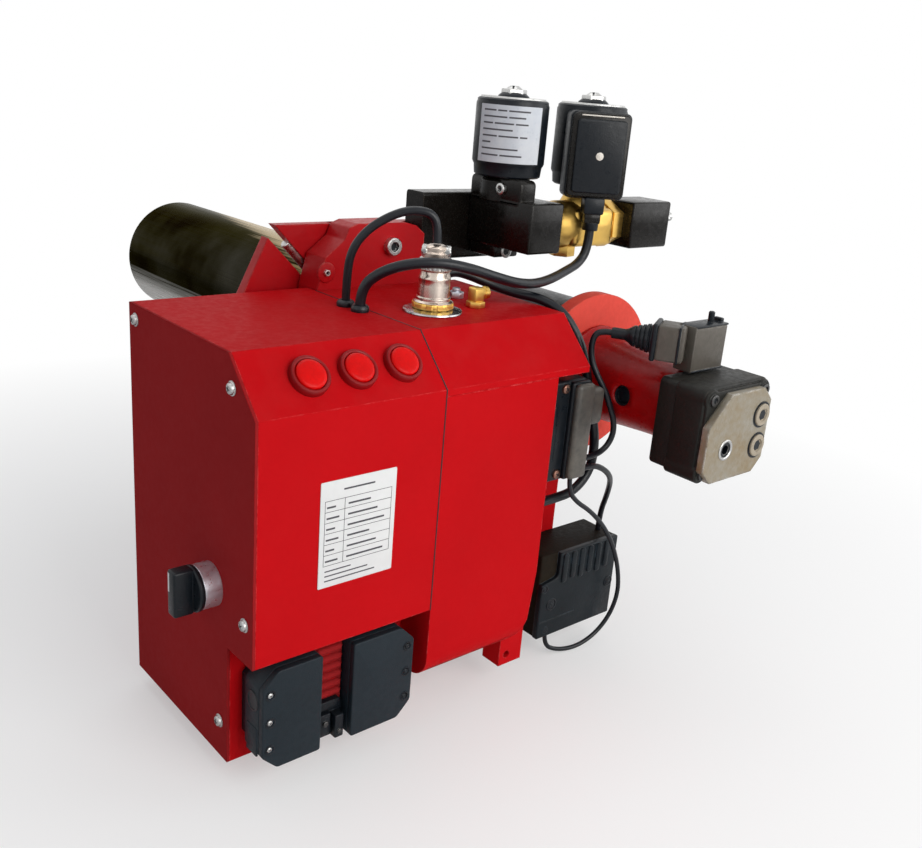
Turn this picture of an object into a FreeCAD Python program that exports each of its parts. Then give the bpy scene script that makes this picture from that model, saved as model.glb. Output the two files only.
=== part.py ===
import FreeCAD, Part
import math
import os
import re

import Sketcher

# Dual fuel burner: fan housing, oil pump, gas train and blast tube, in millimetres.
# The origin is the centre of the flange face that meets the boiler. +Y points into the boiler.

doc = FreeCAD.newDocument("dual_fuel_burner")
sheet = doc.addObject("Spreadsheet::Sheet", "Sizes")

SIZES = {
    # Running and seating clearances
    "fit_gap": 0.05, "seat_gap": 0.1, "body_gap": 0.3,
    # Control cabinet
    "cabinet_left": -207, "front_face": -210, "base_level": -261,
    "cabinet_width": 149, "cabinet_height": 300, "cabinet_depth": 182,
    "chamfer_run": 34, "chamfer_drop": 35, "recess_depth": 34, "recess_height": 93,
    "sheet_wall": 2, "lip_width": 18,
    # Buttons on the chamfer
    "button_first": 47, "button_pitch": 37, "button_hole": 11, "bezel_radius": 14.5,
    "bezel_height": 5, "bezel_edge": 1.5, "lens_radius": 9.5,
    "lens_rise": 4, "stem_radius": 5, "button_travel": 3,
    "button_depth": 26, "guide_depth": 8,
    # Selector on the left side
    "selector_back": 55.7, "selector_level": 132.3, "selector_radius": 18, "selector_reach": 16,
    "dial_radius": 16, "dial_thick": 4, "blade_thick": 8, "blade_reach": 14, "shaft_radius": 4,
    "selector_body_radius": 11, "selector_body_length": 26,
    # Screws
    "screw_radius": 2, "screw_head": 4, "screw_rise": 2.2, "screw_length": 9,
    # Plugs in the recess
    "plug_margin": 8.5, "plug_width": 47, "plug_height": 77, "plug_depth": 24,
    "plug_step": 73, "plug_clip": 12, "socket_inset": 3, "plug_edge": 6,
    # Fan
    "fan_gap": 2, "fan_level": -126, "fan_radius": 60, "hub_radius": 12,
    "fan_left": -20, "fan_width": 52, "back_plate": 2, "ring_thick": 2, "blade_ring": 49,
    "fan_blade": 1.4, "fan_shaft_radius": 6, "motor_radius": 48, "motor_length": 112,
    "motor_flange": 6, "motor_lip": 6, "shaft_clear": 3, "eye_radius": 36,
    # Pieces inside the cabinet
    "inside_left": 20, "control_width": 85, "control_depth": 40, "control_drop": 12,
    "control_height": 83, "igniter_width": 80, "igniter_depth": 66, "igniter_height": 58,
    # Fan housing
    "housing_width": 111, "housing_depth": 170, "housing_wall": 4, "housing_top": -1,
    "corner_level": 95, "corner_mid": 52, "corner_mid_in": 5, "corner_low": 33,
    "corner_low_in": 16, "housing_base": 30, "front_round": 20,
    "foot_width": 25, "foot_depth": 20, "foot_hole": 3.2, "foot_in": 8,
    # Head cover
    "cover_overhang": 34, "cover_wall": 3, "cover_floor": 3,
    # Blast tube and boiler flange
    "tube_radius": 57, "tube_wall": 2, "tube_reach": 330, "tube_seat": 8,
    "flange_thick": 10, "flange_half_height": 87, "flange_top_half": 80, "flange_side_half": 123,
    "bolt_span_x": 180, "bolt_span_z": 50, "bolt_hole": 5.5, "slit_width": 11, "slit_lap": 5, "slit_over": 10,
    "clamp_radius": 3, "clamp_offset": 76, "clamp_length": 40, "clamp_head": 4.5,
    # Rear collar
    "collar_thick": 28, "collar_left": -57, "collar_right": 49, "collar_foot": -66,
    "collar_bore": 33, "collar_round": 6, "collar_top": 91, "collar_port_top": 81,
    "collar_peak_left": -20, "collar_peak_run": 12, "collar_peak_drop": 3, "collar_peak_lead": 8,
    "collar_peak_right": 28, "collar_step_side": -32,
    "collar_step_top": 78.4, "collar_shoulder_side": -50, "collar_shoulder_top": 64.8,
    "collar_ring_thick": 15, "collar_ring_wall": 6, "stub_seat": 4, "gas_stub": 7.5,
    "gas_port": 5, "gas_port_level": 72, "gas_line_in": 18, "gas_bore_level": 88,
    # Combustion head
    "gas_pipe": 17, "gas_pipe_wall": 2, "gas_pipe_end": 262, "spud_radius": 4,
    "spud_reach": 24, "spud_circle": 34, "spud_count": 6, "head_radius": 40, "head_thick": 8,
    "lance_radius": 5, "lance_wall": 1, "lance_start": -60, "lance_end": 282, "nozzle_radius": 8,
    "nozzle_length": 24, "disc_radius": 46, "disc_thick": 1.5,
    "vane_count": 8, "vane_thick": 1.2, "vane_width": 9, "vane_inner": 17, "vane_outer": 42,
    "vane_tilt": -35, "disc_seat": 12,
    "rod_radius": 2, "rod_offset": 22, "rod_end": 292,
    # Air intake and damper
    "duct_width": 84, "duct_depth": 96, "duct_lead": 40, "duct_wall": 3,
    "duct_base": -241, "duct_top": -76, "duct_neck": 47, "duct_slope": 34,
    "damper_level": -199, "damper_thick": 2, "damper_shaft": 4, "damper_gap": 1.5,
    # Servo
    "servo_left": 85, "servo_width": 94, "servo_depth": 44, "servo_base": -252,
    "servo_height": 79, "servo_notch": 12, "servo_round": 4, "servo_bore": 14,
    # Oil pump unit
    "pump_side": 160, "pump_level": -27, "disc_plate": 70, "disc_plate_thick": 13,
    "disc_front": -150, "web_drop": 61, "bell_front": -253,
    "bell_small": 31, "bell_large": 37, "bell_wall": 4, "bell_window": 11, "bell_foot": 6,
    "motor_case": 59, "motor_case_length": 122, "motor_nose": 20, "motor_edge": 3, "motor_end": 8,
    "pump_half_width": 41, "pump_drop": 43, "pump_rise": 32, "pump_depth": 47, "pump_round": 5,
    "lid_clip": 11, "lid_corner": 24, "lid_right": 36, "lid_rise": 27,
    "cover_thick": 6, "plug_ring": 9, "plug_rise": 2, "plug_side": 25.5, "plug_high": 5,
    "plug_low": 20.5, "port_side": 16, "port_low": 17.5, "port_radius": 4,
    "pump_shaft_radius": 5, "coupling_radius": 14, "coupling_length": 40,
    # Pump valve
    "valve_side": 164, "valve_back": -255, "valve_width": 42, "valve_depth": 18, "valve_height": 37,
    "nub_side": 172, "nub_radius": 2.5, "nub_rise": 9, "din_width": 28, "din_length": 24,
    "din_height": 30, "din_drop": 15,
    "relief_length": 34, "relief_wide": 12, "relief_narrow": 4.5, "relief_turn": 120,
    # Gas train
    "elbow_base": 57, "train_depth": 24,
    "block_left": 100.5, "block_width": 38.5, "block_depth": 79, "train_base": 73,
    "train_height": 42, "train_round": 3, "lug_reach": 64, "lug_screw": 5, "lug_screw_in": 65,
    "lug_screw_level": 8, "stub_reach": 35, "stub_width": 28,
    "stub_drop": 10, "boss_radius": 22, "boss_rise": 17,
    "coil_radius": 31, "coil_edge": 3, "safety_side": 118, "safety_in": 50,
    "safety_height": 65, "core_radius": 8, "core_bore": 6, "core_top": 8,
    "core_floor": 6, "core_roof": 3, "bore_lead": 10,
    "plunger_length": 30, "washer_radius": 14, "washer_thick": 2,
    "nut_radius": 12, "nut_thick": 7, "brass_width": 91, "brass_half_depth": 21,
    "main_side": 192, "main_in": 73, "main_lift": 12, "main_height": 70,
    "neck_radius": 16, "hex_radius": 17, "hex_lead": 20, "hex_height": 8,
    "cover_turn": 33, "cover_width": 53, "cover_height": 72, "cover_drop": 8,
    "cover_near": 18, "cover_far": 42, "gland_radius": 8, "gland_length": 27,
    "gland_side": 174, "gland_in": 102.5,
    "inlet_width": 53, "inlet_half_depth": 20, "inlet_in": 83, "nipple_radius": 9,
    "nipple_length": 10, "nipple_bore": 6.5, "nipple_depth": 22, "nipple_level": 89,
    # Connector and fittings on the covers
    "connector_side": -13, "connector_back": -133, "connector_flange": 23,
    "connector_plate": 3, "connector_brass": 15.5, "brass_rise": 5, "barrel_radius": 12,
    "barrel_rise": 32, "groove_depth": 1, "clamp_ring": 10, "clamp_rise": 12,
    "oil_side": 29.6, "oil_back": -134, "oil_radius": 8, "oil_rise": 16, "oil_bore": 4.5,
    "oil_depth": 10, "grommet_side": -66, "grommet_back": -94, "grommet_step": 19,
    "grommet_radius": 7, "grommet_rise": 4, "small_gland_side": 22, "small_gland_back": -94,
    "cap_side": 15, "cap_back": 7,
    # Terminal box on the housing
    "box_flange_width": 44, "box_base": -93, "box_height": 84, "box_front": -202,
    "box_plate": 3, "box_depth": 26, "box_rise": 10, "box_inset": 24,
    "box_side_in": 6, "box_end_in": 5, "box_lid_in": 3,
    "lobe_width": 14, "lobe_base": -47, "lobe_height": 26, "lobe_depth": 14,
    # Cords
    "connector_cord_radius": 3.25, "gas_cord_radius": 4, "box_cord_radius": 4,
    "pump_cord_radius": 2.5, "servo_cord_radius": 2, "servo_lead_radius": 2.5,
}
for row, (alias, number) in enumerate(SIZES.items(), 1):
    sheet.set(f"A{row}", str(number))
    sheet.setAlias(f"A{row}", alias)
doc.recompute()

WORD = re.compile(r"[a-z]+(?:_[a-z]+)+")
DIRECTIONS = {"X": FreeCAD.Vector(1, 0, 0), "Y": FreeCAD.Vector(0, 1, 0), "Z": FreeCAD.Vector(0, 0, 1)}
nodes = []
fasteners = []


# Helpers that bind features to the sheet

def size(alias):
    return float(sheet.get(alias))


def bind(thing, prop, formula):
    thing.setExpression(prop, WORD.sub(lambda word: "Sizes." + word.group(), str(formula)))


def node(solid, label):
    solid.Label = label
    nodes.append(solid)
    return solid


def place(solid, spot, turn=None):
    if turn is not None:
        solid.Placement.Rotation = turn
    for axis, formula in zip("xyz", spot):
        bind(solid, "Placement.Base." + axis, formula)
    return solid


def facing(direction):
    way = DIRECTIONS[direction] if isinstance(direction, str) else direction
    return FreeCAD.Rotation(DIRECTIONS["Z"], way)


def box(x, y, z):
    """A block between the two formulas given for each axis."""
    solid = doc.addObject("Part::Box", "block")
    for prop, (low, high) in zip(("Length", "Width", "Height"), (x, y, z)):
        bind(solid, prop, f"({high}) - ({low})")
    return place(solid, (x[0], y[0], z[0]))


def rod(spot, direction, radius, length):
    """A cylinder from a spot along a direction."""
    solid = doc.addObject("Part::Cylinder", "rod")
    bind(solid, "Radius", radius)
    bind(solid, "Height", length)
    return place(solid, spot, facing(direction))


def cone(spot, direction, radius, end_radius, length):
    solid = doc.addObject("Part::Cone", "cone")
    bind(solid, "Radius1", radius)
    bind(solid, "Radius2", end_radius)
    bind(solid, "Height", length)
    return place(solid, spot, facing(direction))


def prism(spot, direction, sides, radius, length):
    solid = doc.addObject("Part::Prism", "prism")
    solid.Polygon = sides
    bind(solid, "Circumradius", radius)
    bind(solid, "Height", length)
    return place(solid, spot, facing(direction))


def cut(base, *tools):
    for tool in tools:
        result = doc.addObject("Part::Cut", "cut")
        result.Base = base
        result.Tool = tool
        base = result
    return base


def fuse(*parts):
    result = doc.addObject("Part::MultiFuse", "joined")
    result.Shapes = list(parts)
    result.Refine = True
    return result


def group(*parts):
    """Separate solids that share one node."""
    result = doc.addObject("Part::Compound", "set")
    result.Links = list(parts)
    return result


def shell_body(label):
    return doc.addObject("PartDesign::Body", label)


def outline(body, plane, points, level):
    """A sketch on an origin plane of the body: a closed outline, or circles as (x, y, radius)."""
    sketch = body.newObject("Sketcher::SketchObject", "outline")
    origin = next(part for part in body.Origin.OriginFeatures if part.Role == plane + "_Plane")
    sketch.AttachmentSupport = (origin, [""])
    sketch.MapMode = "FlatFace"
    bind(sketch, "AttachmentOffset.Base.z", f"-({level})" if plane == "XZ" else level)
    if len(points[0]) == 3:
        for index, (across, up, radius) in enumerate(points):
            start = FreeCAD.Vector(20 * index, 0, 0)
            sketch.addGeometry(Part.Circle(start, DIRECTIONS["Z"], 5))
            limits = (("DistanceX", -1, 1, index, 3), ("DistanceY", -1, 1, index, 3), ("Radius", index))
            for (kind, *ends), formula in zip(limits, (across, up, radius)):
                number = sketch.addConstraint(Sketcher.Constraint(kind, *ends, 1.0))
                bind(sketch, f"Constraints[{number}]", formula)
        return sketch
    count = len(points)
    turns = [2 * math.pi * index / count for index in range(count + 1)]
    corners = [FreeCAD.Vector(50 * math.cos(turn), 50 * math.sin(turn), 0) for turn in turns]
    for start, end in zip(corners, corners[1:]):
        sketch.addGeometry(Part.LineSegment(start, end))
    for index in range(count):
        sketch.addConstraint(Sketcher.Constraint("Coincident", index, 2, (index + 1) % count, 1))
    for index, point in enumerate(points):
        for kind, formula in zip(("DistanceX", "DistanceY"), point):
            number = sketch.addConstraint(Sketcher.Constraint(kind, -1, 1, index, 1, 1.0))
            bind(sketch, f"Constraints[{number}]", formula)
    return sketch


def pad(body, plane, points, low, high):
    """Adds material between two levels along the plane's axis."""
    feature = body.newObject("PartDesign::Pad", "pad")
    feature.Profile = outline(body, plane, points, low)
    feature.Reversed = plane == "XZ"
    bind(feature, "Length", f"({high}) - ({low})")
    body.Tip = feature
    return body


def pocket(body, plane, points, low, high):
    """Takes material away between two levels along the plane's axis."""
    feature = body.newObject("PartDesign::Pocket", "pocket")
    feature.Profile = outline(body, plane, points, low if plane == "XZ" else high)
    bind(feature, "Length", f"({high}) - ({low})")
    body.Tip = feature
    return body


def turned(label, points, spot, direction):
    """A body turned about its own axis from (radius, height) points."""
    body = shell_body(label)
    sketch = outline(body, "XZ", points, "0")
    feature = body.newObject("PartDesign::Revolution", "turning")
    feature.Profile = sketch
    feature.ReferenceAxis = (sketch, ["V_Axis"])
    feature.Angle = 360
    body.Tip = feature
    return place(body, spot, facing(direction))


def rounded(body, radius, chosen):
    """Rounds the edges of the body that the test picks."""
    doc.recompute()
    base = body.Tip
    names = [f"Edge{index}" for index, edge in enumerate(base.Shape.Edges, 1) if chosen(edge)]
    feature = body.newObject("PartDesign::Fillet", "rounding")
    feature.Base = (base, names)
    bind(feature, "Radius", radius)
    body.Tip = feature
    return body


def along(direction):
    """Picks the straight edges that run along a direction."""
    way = DIRECTIONS[direction]
    return lambda edge: (len(edge.Vertexes) == 2 and edge.Length > 1
                         and abs((edge.Vertexes[1].Point - edge.Vertexes[0].Point).dot(way))
                         > 0.999 * edge.Length)


# Levels and faces that several pieces share

CABINET_RIGHT = "(cabinet_left + cabinet_width)"
CABINET_TOP = "(base_level + cabinet_height)"
CABINET_BACK = "(front_face + cabinet_depth)"
RECESS_BACK = "(front_face + recess_depth)"
RECESS_TOP = "(base_level + recess_height)"
HOUSING_RIGHT = "(cabinet_left + cabinet_width + housing_width)"
HOUSING_BACK = "(front_face + housing_depth)"
COLLAR_BACK = "(front_face + housing_depth + collar_thick)"
FAN_BACK = f"({HOUSING_BACK} - housing_wall - fan_gap - fan_radius)"
DUCT_FRONT = f"({FAN_BACK} - duct_lead)"
GAS_LINE = f"({COLLAR_BACK} - gas_line_in)"
SAFETY_BACK = f"({COLLAR_BACK} - safety_in)"
MAIN_BACK = f"({COLLAR_BACK} - main_in)"
INLET_BACK = f"({COLLAR_BACK} - inlet_in)"
PUMP_FRONT = "(bell_front - pump_depth - cover_thick)"
TRAIN_TOP = "(train_base + train_height)"
SLOPE = math.atan2(SIZES["chamfer_drop"], SIZES["chamfer_run"])
OUTWARD = FreeCAD.Vector(0, -math.sin(SLOPE), math.cos(SLOPE))


def inset_profile(gap):
    """Side profile of the cabinet, moved inward by a gap, as (y, z) formulas."""
    slope_gap = f"(({gap}) * (sqrt(chamfer_run ^ 2 + chamfer_drop ^ 2) - chamfer_run) / chamfer_drop)"
    slope_run = f"(({gap}) * (sqrt(chamfer_run ^ 2 + chamfer_drop ^ 2) - chamfer_drop) / chamfer_run)"
    return [
        (f"front_face + {gap}", f"{RECESS_TOP} + {gap}"),
        (f"front_face + {gap}", f"{CABINET_TOP} - chamfer_drop - {slope_run}"),
        (f"front_face + chamfer_run + {slope_gap}", f"{CABINET_TOP} - {gap}"),
        (f"{CABINET_BACK} - {gap}", f"{CABINET_TOP} - {gap}"),
        (f"{CABINET_BACK} - {gap}", f"base_level + {gap}"),
        (f"{RECESS_BACK} + {gap}", f"base_level + {gap}"),
        (f"{RECESS_BACK} + {gap}", f"{RECESS_TOP} + {gap}"),
    ]


BUTTONS = [f"cabinet_left + button_first + {index} * button_pitch" for index in range(3)]
BUTTON_Y = "front_face + chamfer_run * 0.5"
BUTTON_Z = f"{CABINET_TOP} - chamfer_drop * 0.5"


def on_chamfer(side, distance):
    """A spot on a button's axis, at a distance out from the chamfer."""
    slope = "sqrt(chamfer_run ^ 2 + chamfer_drop ^ 2)"
    return (side, f"{BUTTON_Y} - ({distance}) * chamfer_drop / {slope}",
            f"{BUTTON_Z} + ({distance}) * chamfer_run / {slope}")


def screw(spot, inward):
    """A cheese-head screw seated on a surface at a spot."""
    outward = FreeCAD.Vector(0, 0, 0) - DIRECTIONS[inward]
    head = rod(spot, outward, "screw_head", "screw_rise")
    return fuse(head, rod(spot, inward, "screw_radius", "screw_length"))


def screw_hole(spot, inward):
    return rod(spot, inward, "screw_radius + seat_gap", "screw_length + seat_gap")


# Spots of the screws: the cabinet's side, the plugs, the terminal box and the servo

PANEL_SPOTS = [("cabinet_left", f"{CABINET_BACK} - lip_width * 0.6", f"{CABINET_TOP} - lip_width * 0.6"),
               ("cabinet_left", "front_face + lip_width * 1.6", f"{CABINET_TOP} - lip_width * 1.2"),
               ("cabinet_left", "front_face + lip_width * 0.6", f"{RECESS_TOP} + lip_width * 1.6"),
               ("cabinet_left", f"{RECESS_BACK} + lip_width * 0.6", "base_level + lip_width * 1.6")]
LEFT_PLUG = ("cabinet_left + plug_margin", "cabinet_left + plug_margin + plug_width")
RIGHT_PLUG = ("cabinet_left + plug_margin + plug_step",
              "cabinet_left + plug_margin + plug_step + plug_width * 1.15")
PLUG_LEVELS = [f"base_level + plug_margin + plug_height * {share}" for share in (0.22, 0.5, 0.78)]
PLUG_SPOTS = [(side, "front_face", level) for level in PLUG_LEVELS
              for side in (f"{LEFT_PLUG[0]} + plug_edge", f"{RIGHT_PLUG[1]} - plug_edge")]
BOX_SPOTS = [(f"{HOUSING_RIGHT} + box_inset * 0.75", "box_front", level)
             for level in ("box_base + plug_edge", "box_base + box_height - plug_edge")]


def cabinet():
    shell = shell_body("cabinet_shell_body")
    pad(shell, "YZ", inset_profile("0"), "cabinet_left + sheet_wall", CABINET_RIGHT)
    pocket(shell, "YZ", inset_profile("sheet_wall"), "cabinet_left + 2 * sheet_wall",
           f"{CABINET_RIGHT} - sheet_wall")
    pocket(shell, "YZ", inset_profile("lip_width"),
           "cabinet_left + sheet_wall", "cabinet_left + 2 * sheet_wall")
    holes = [rod(on_chamfer(side, "-2 * sheet_wall"), OUTWARD, "button_hole + seat_gap", "4 * sheet_wall")
             for side in BUTTONS]
    holes.append(rod((f"{CABINET_RIGHT} - 2 * sheet_wall", FAN_BACK, "fan_level"), "X",
                     "hub_radius", "4 * sheet_wall"))
    holes += [screw_hole(spot, "X") for spot in PANEL_SPOTS]
    node(cut(shell, *holes), "cabinet_shell")

    panel = pad(shell_body("side_panel_body"), "YZ", inset_profile("0"), "cabinet_left",
                "cabinet_left + sheet_wall")
    holes = [screw_hole(spot, "X") for spot in PANEL_SPOTS]
    holes.append(rod(("cabinet_left", "front_face + selector_back", "base_level + selector_level"), "X",
                     "selector_body_radius + seat_gap", "sheet_wall"))
    node(cut(panel, *holes), "cabinet_side_panel")


def plug_points(left, right, clipped_left, gap):
    low = f"base_level + plug_margin + {gap}"
    high = f"base_level + plug_margin + plug_height - {gap}"
    near, far = (f"{left} + {gap}", f"{right} - {gap}")
    if clipped_left:
        return [(f"{near} + plug_clip", low), (far, low), (far, high), (f"{near} + plug_clip", high),
                (near, f"{high} - plug_clip"), (near, f"{low} + plug_clip")]
    return [(near, low), (f"{far} - plug_clip", low), (far, f"{low} + plug_clip"),
            (far, f"{high} - plug_clip"), (f"{far} - plug_clip", high), (near, high)]


def plugs():
    sockets = []
    for label, (left, right), clipped_left in (("seven_pole_plug", LEFT_PLUG, True),
                                               ("four_pole_plug", RIGHT_PLUG, False)):
        plug = pad(shell_body(label + "_body"), "XZ", plug_points(left, right, clipped_left, "0"),
                   "front_face", "front_face + plug_depth")
        rounded(plug, "screw_radius", along("Y"))
        spots = [spot for spot in PLUG_SPOTS if left in spot[0] or right in spot[0]]
        node(cut(plug, *[screw_hole(spot, "Y") for spot in spots]), label)
        socket = pad(shell_body(label + "_socket"), "XZ",
                     plug_points(left, right, clipped_left, "socket_inset"),
                     "front_face + plug_depth", RECESS_BACK)
        sockets.append(socket)
    node(group(*sockets), "plug_sockets")


def buttons():
    bezels = []
    for index, side in enumerate(BUTTONS, 1):
        ring = [("stem_radius + fit_gap", "-button_depth"), ("button_hole", "-button_depth"),
                ("button_hole", "0"), ("bezel_radius", "0"), ("bezel_radius", "bezel_height - bezel_edge"),
                ("bezel_radius - bezel_edge", "bezel_height"), ("lens_radius + body_gap", "bezel_height"),
                ("lens_radius + body_gap", "-guide_depth"), ("stem_radius + fit_gap", "-guide_depth")]
        bezels.append(turned(f"bezel_{index}", ring, on_chamfer(side, "0"), OUTWARD))
        travel = "button_travel + body_gap"
        lens = [("0", "-button_depth + body_gap"), ("stem_radius", "-button_depth + body_gap"),
                ("stem_radius", f"-guide_depth + {travel}"), ("lens_radius", f"-guide_depth + {travel}"),
                ("lens_radius", "bezel_height"), ("lens_radius * 0.8", "bezel_height + lens_rise * 0.7"),
                ("lens_radius * 0.4", "bezel_height + lens_rise"), ("0", "bezel_height + lens_rise")]
        button = turned(f"button_{index}", lens, on_chamfer(side, "0"), OUTWARD)
        node(button, ("left", "middle", "right")[index - 1] + "_button")
    node(group(*bezels), "button_bezels")


def selector():
    spot = ("cabinet_left", "front_face + selector_back", "base_level + selector_level")
    bezel = [("shaft_radius + fit_gap", "-selector_body_length"),
             ("selector_body_radius", "-selector_body_length"), ("selector_body_radius", "0"),
             ("selector_radius", "0"), ("selector_radius", "selector_reach - 2"),
             ("selector_radius - 2", "selector_reach"), ("dial_radius + body_gap", "selector_reach"),
             ("dial_radius + body_gap", "selector_reach - dial_thick - body_gap"),
             ("shaft_radius + fit_gap", "selector_reach - dial_thick - body_gap")]
    node(turned("selector_bezel_body", bezel, spot, FreeCAD.Vector(-1, 0, 0)), "selector_bezel")
    dial = [("0", "-selector_body_length + body_gap"), ("shaft_radius", "-selector_body_length + body_gap"),
            ("shaft_radius", "selector_reach - dial_thick"), ("dial_radius", "selector_reach - dial_thick"),
            ("dial_radius", "selector_reach"), ("0", "selector_reach")]
    knob = turned("dial", dial, spot, FreeCAD.Vector(-1, 0, 0))
    face = "cabinet_left - selector_reach"
    blade = box((f"{face} - blade_reach", face),
                ("front_face + selector_back - blade_thick * 0.5",
                 "front_face + selector_back + blade_thick * 0.5"),
                ("base_level + selector_level - dial_radius", "base_level + selector_level + dial_radius"))
    node(fuse(knob, blade), "selector_knob")


def screws_and_bolts():
    screws = [screw(spot, "X") for spot in PANEL_SPOTS]
    screws += [screw(spot, "Y") for spot in PLUG_SPOTS + BOX_SPOTS]
    node(group(*screws, *fasteners), "screws_and_bolts")


def cabinet_inside():
    wall = f"{CABINET_RIGHT} - sheet_wall"
    flange = rod((f"{wall} - motor_flange", FAN_BACK, "fan_level"), "X",
                 "motor_radius + motor_lip", "motor_flange")
    case = rod((f"{wall} - motor_length", FAN_BACK, "fan_level"), "X", "motor_radius", "motor_length")
    bore = rod((f"{wall} - motor_length * 0.5", FAN_BACK, "fan_level"), "X",
               "fan_shaft_radius + fit_gap", "motor_length")
    node(cut(fuse(flange, case), bore), "fan_motor")
    back = f"{CABINET_BACK} - sheet_wall"
    node(box(("cabinet_left + inside_left", "cabinet_left + inside_left + control_width"),
             (f"{back} - control_depth", back),
             (f"{CABINET_TOP} - control_drop - control_height", f"{CABINET_TOP} - control_drop")),
         "control_box")
    node(box(("cabinet_left + inside_left", "cabinet_left + inside_left + igniter_width"),
             (f"{back} - igniter_depth", back),
             ("base_level + sheet_wall", "base_level + sheet_wall + igniter_height")), "ignition_transformer")


def made(label, shape):
    """A solid made with curves that the other features don't offer."""
    solid = doc.addObject("Part::Feature", label)
    solid.Shape = shape
    return solid


def fan_blade(angle):
    """One forward-curved blade: an arc strip between two radii, in the wheel's own frame."""
    inner, outer, thick = size("blade_ring"), size("fan_radius"), size("fan_blade")
    bow = (outer - inner) * 0.3
    strips = []
    for shift in (0, thick):
        start = FreeCAD.Vector(inner + 0.5, shift, 0)
        middle = FreeCAD.Vector((inner + outer) / 2, shift - bow, 0)
        end = FreeCAD.Vector(outer - 0.7, shift, 0)
        strips.append((Part.Arc(start, middle, end).toShape(), start, end))
    (near, near_start, near_end), (far, far_start, far_end) = strips
    ends = [Part.LineSegment(near_end, far_end).toShape(), Part.LineSegment(far_start, near_start).toShape()]
    face = Part.Face(Part.Wire(Part.sortEdges([near, ends[0], far, ends[1]])[0]))
    length = size("fan_width") - size("back_plate") - size("ring_thick")
    blade = face.extrude(FreeCAD.Vector(0, 0, length))
    blade.translate(FreeCAD.Vector(0, 0, size("back_plate")))
    blade.rotate(FreeCAD.Vector(0, 0, 0), DIRECTIONS["Z"], angle)
    return blade


def fan():
    spot = ("fan_left", FAN_BACK, "fan_level")
    hub = [("fan_shaft_radius", "0"), ("fan_radius", "0"), ("fan_radius", "back_plate"),
           ("hub_radius", "back_plate"), ("hub_radius", "fan_width * 0.6"),
           ("fan_shaft_radius", "fan_width * 0.6")]
    ring = [("blade_ring", "fan_width - ring_thick"), ("fan_radius", "fan_width - ring_thick"),
            ("fan_radius", "fan_width"), ("blade_ring", "fan_width")]
    wheel = [turned("fan_hub", hub, spot, "X"), turned("fan_ring", ring, spot, "X")]
    blades = made("fan_blades", Part.makeCompound([fan_blade(360 * turn / 24) for turn in range(24)]))
    wheel.append(place(blades, spot, facing("X")))
    node(fuse(*wheel), "fan_wheel")
    start = f"{CABINET_RIGHT} - sheet_wall - motor_length * 0.45"
    node(rod((start, FAN_BACK, "fan_level"), "X", "fan_shaft_radius",
             f"fan_left + fan_width * 0.6 - ({start})"), "fan_shaft")


def housing():
    right = HOUSING_RIGHT
    points = [(CABINET_RIGHT, "housing_top"), (right, "housing_top"), (right, "base_level + corner_level"),
              (f"{right} - corner_mid_in", "base_level + corner_mid"),
              (f"{right} - corner_low_in", "base_level + corner_low"),
              (f"{right} - corner_low_in * 1.8", "base_level + housing_base"),
              (CABINET_RIGHT, "base_level + housing_base")]
    body = pad(shell_body("air_housing_body"), "XZ", points, "front_face", HOUSING_BACK)
    rounded(body, "front_round", lambda edge: (
        abs(edge.BoundBox.YMax - size("front_face")) < 0.01
        and edge.BoundBox.ZMax < size("base_level") + size("housing_base") + 0.01))
    wall = "housing_wall"
    inner = [(f"{CABINET_RIGHT} + {wall}", "housing_top"), (f"{right} - {wall}", "housing_top"),
             (f"{right} - {wall}", "base_level + corner_level"),
             (f"{right} - {wall} - corner_mid_in", "base_level + corner_mid + 1"),
             (f"{right} - {wall} - corner_low_in", f"base_level + corner_low + {wall}"),
             (f"{CABINET_RIGHT} + {wall}", f"base_level + housing_base + {wall}")]
    pocket(body, "XZ", inner, f"front_face + {wall}", f"{HOUSING_BACK} - {wall}")
    eye = rod((f"{right} - 2 * {wall}", FAN_BACK, "fan_level"), "X", "eye_radius", f"4 * {wall}")
    shaft = rod((f"{CABINET_RIGHT} - {wall}", FAN_BACK, "fan_level"), "X",
                "fan_shaft_radius + shaft_clear", f"3 * {wall}")
    outlet = rod(("0", f"{HOUSING_BACK} - 2 * {wall}", "housing_top"), "Y", "collar_bore", f"4 * {wall}")
    foot = box((f"{right} - foot_width", right),
               ("front_face + foot_in", "front_face + foot_in + foot_depth"),
               ("base_level + foot_hole * 3", "base_level + corner_mid"))
    foot_hole = rod((f"{right} - foot_width + foot_in", "front_face", "base_level + housing_base * 0.62"),
                    "Y",
                    "foot_hole", "2 * foot_depth")
    node(cut(fuse(body, foot), eye, shaft, outlet, foot_hole), "air_housing")


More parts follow.
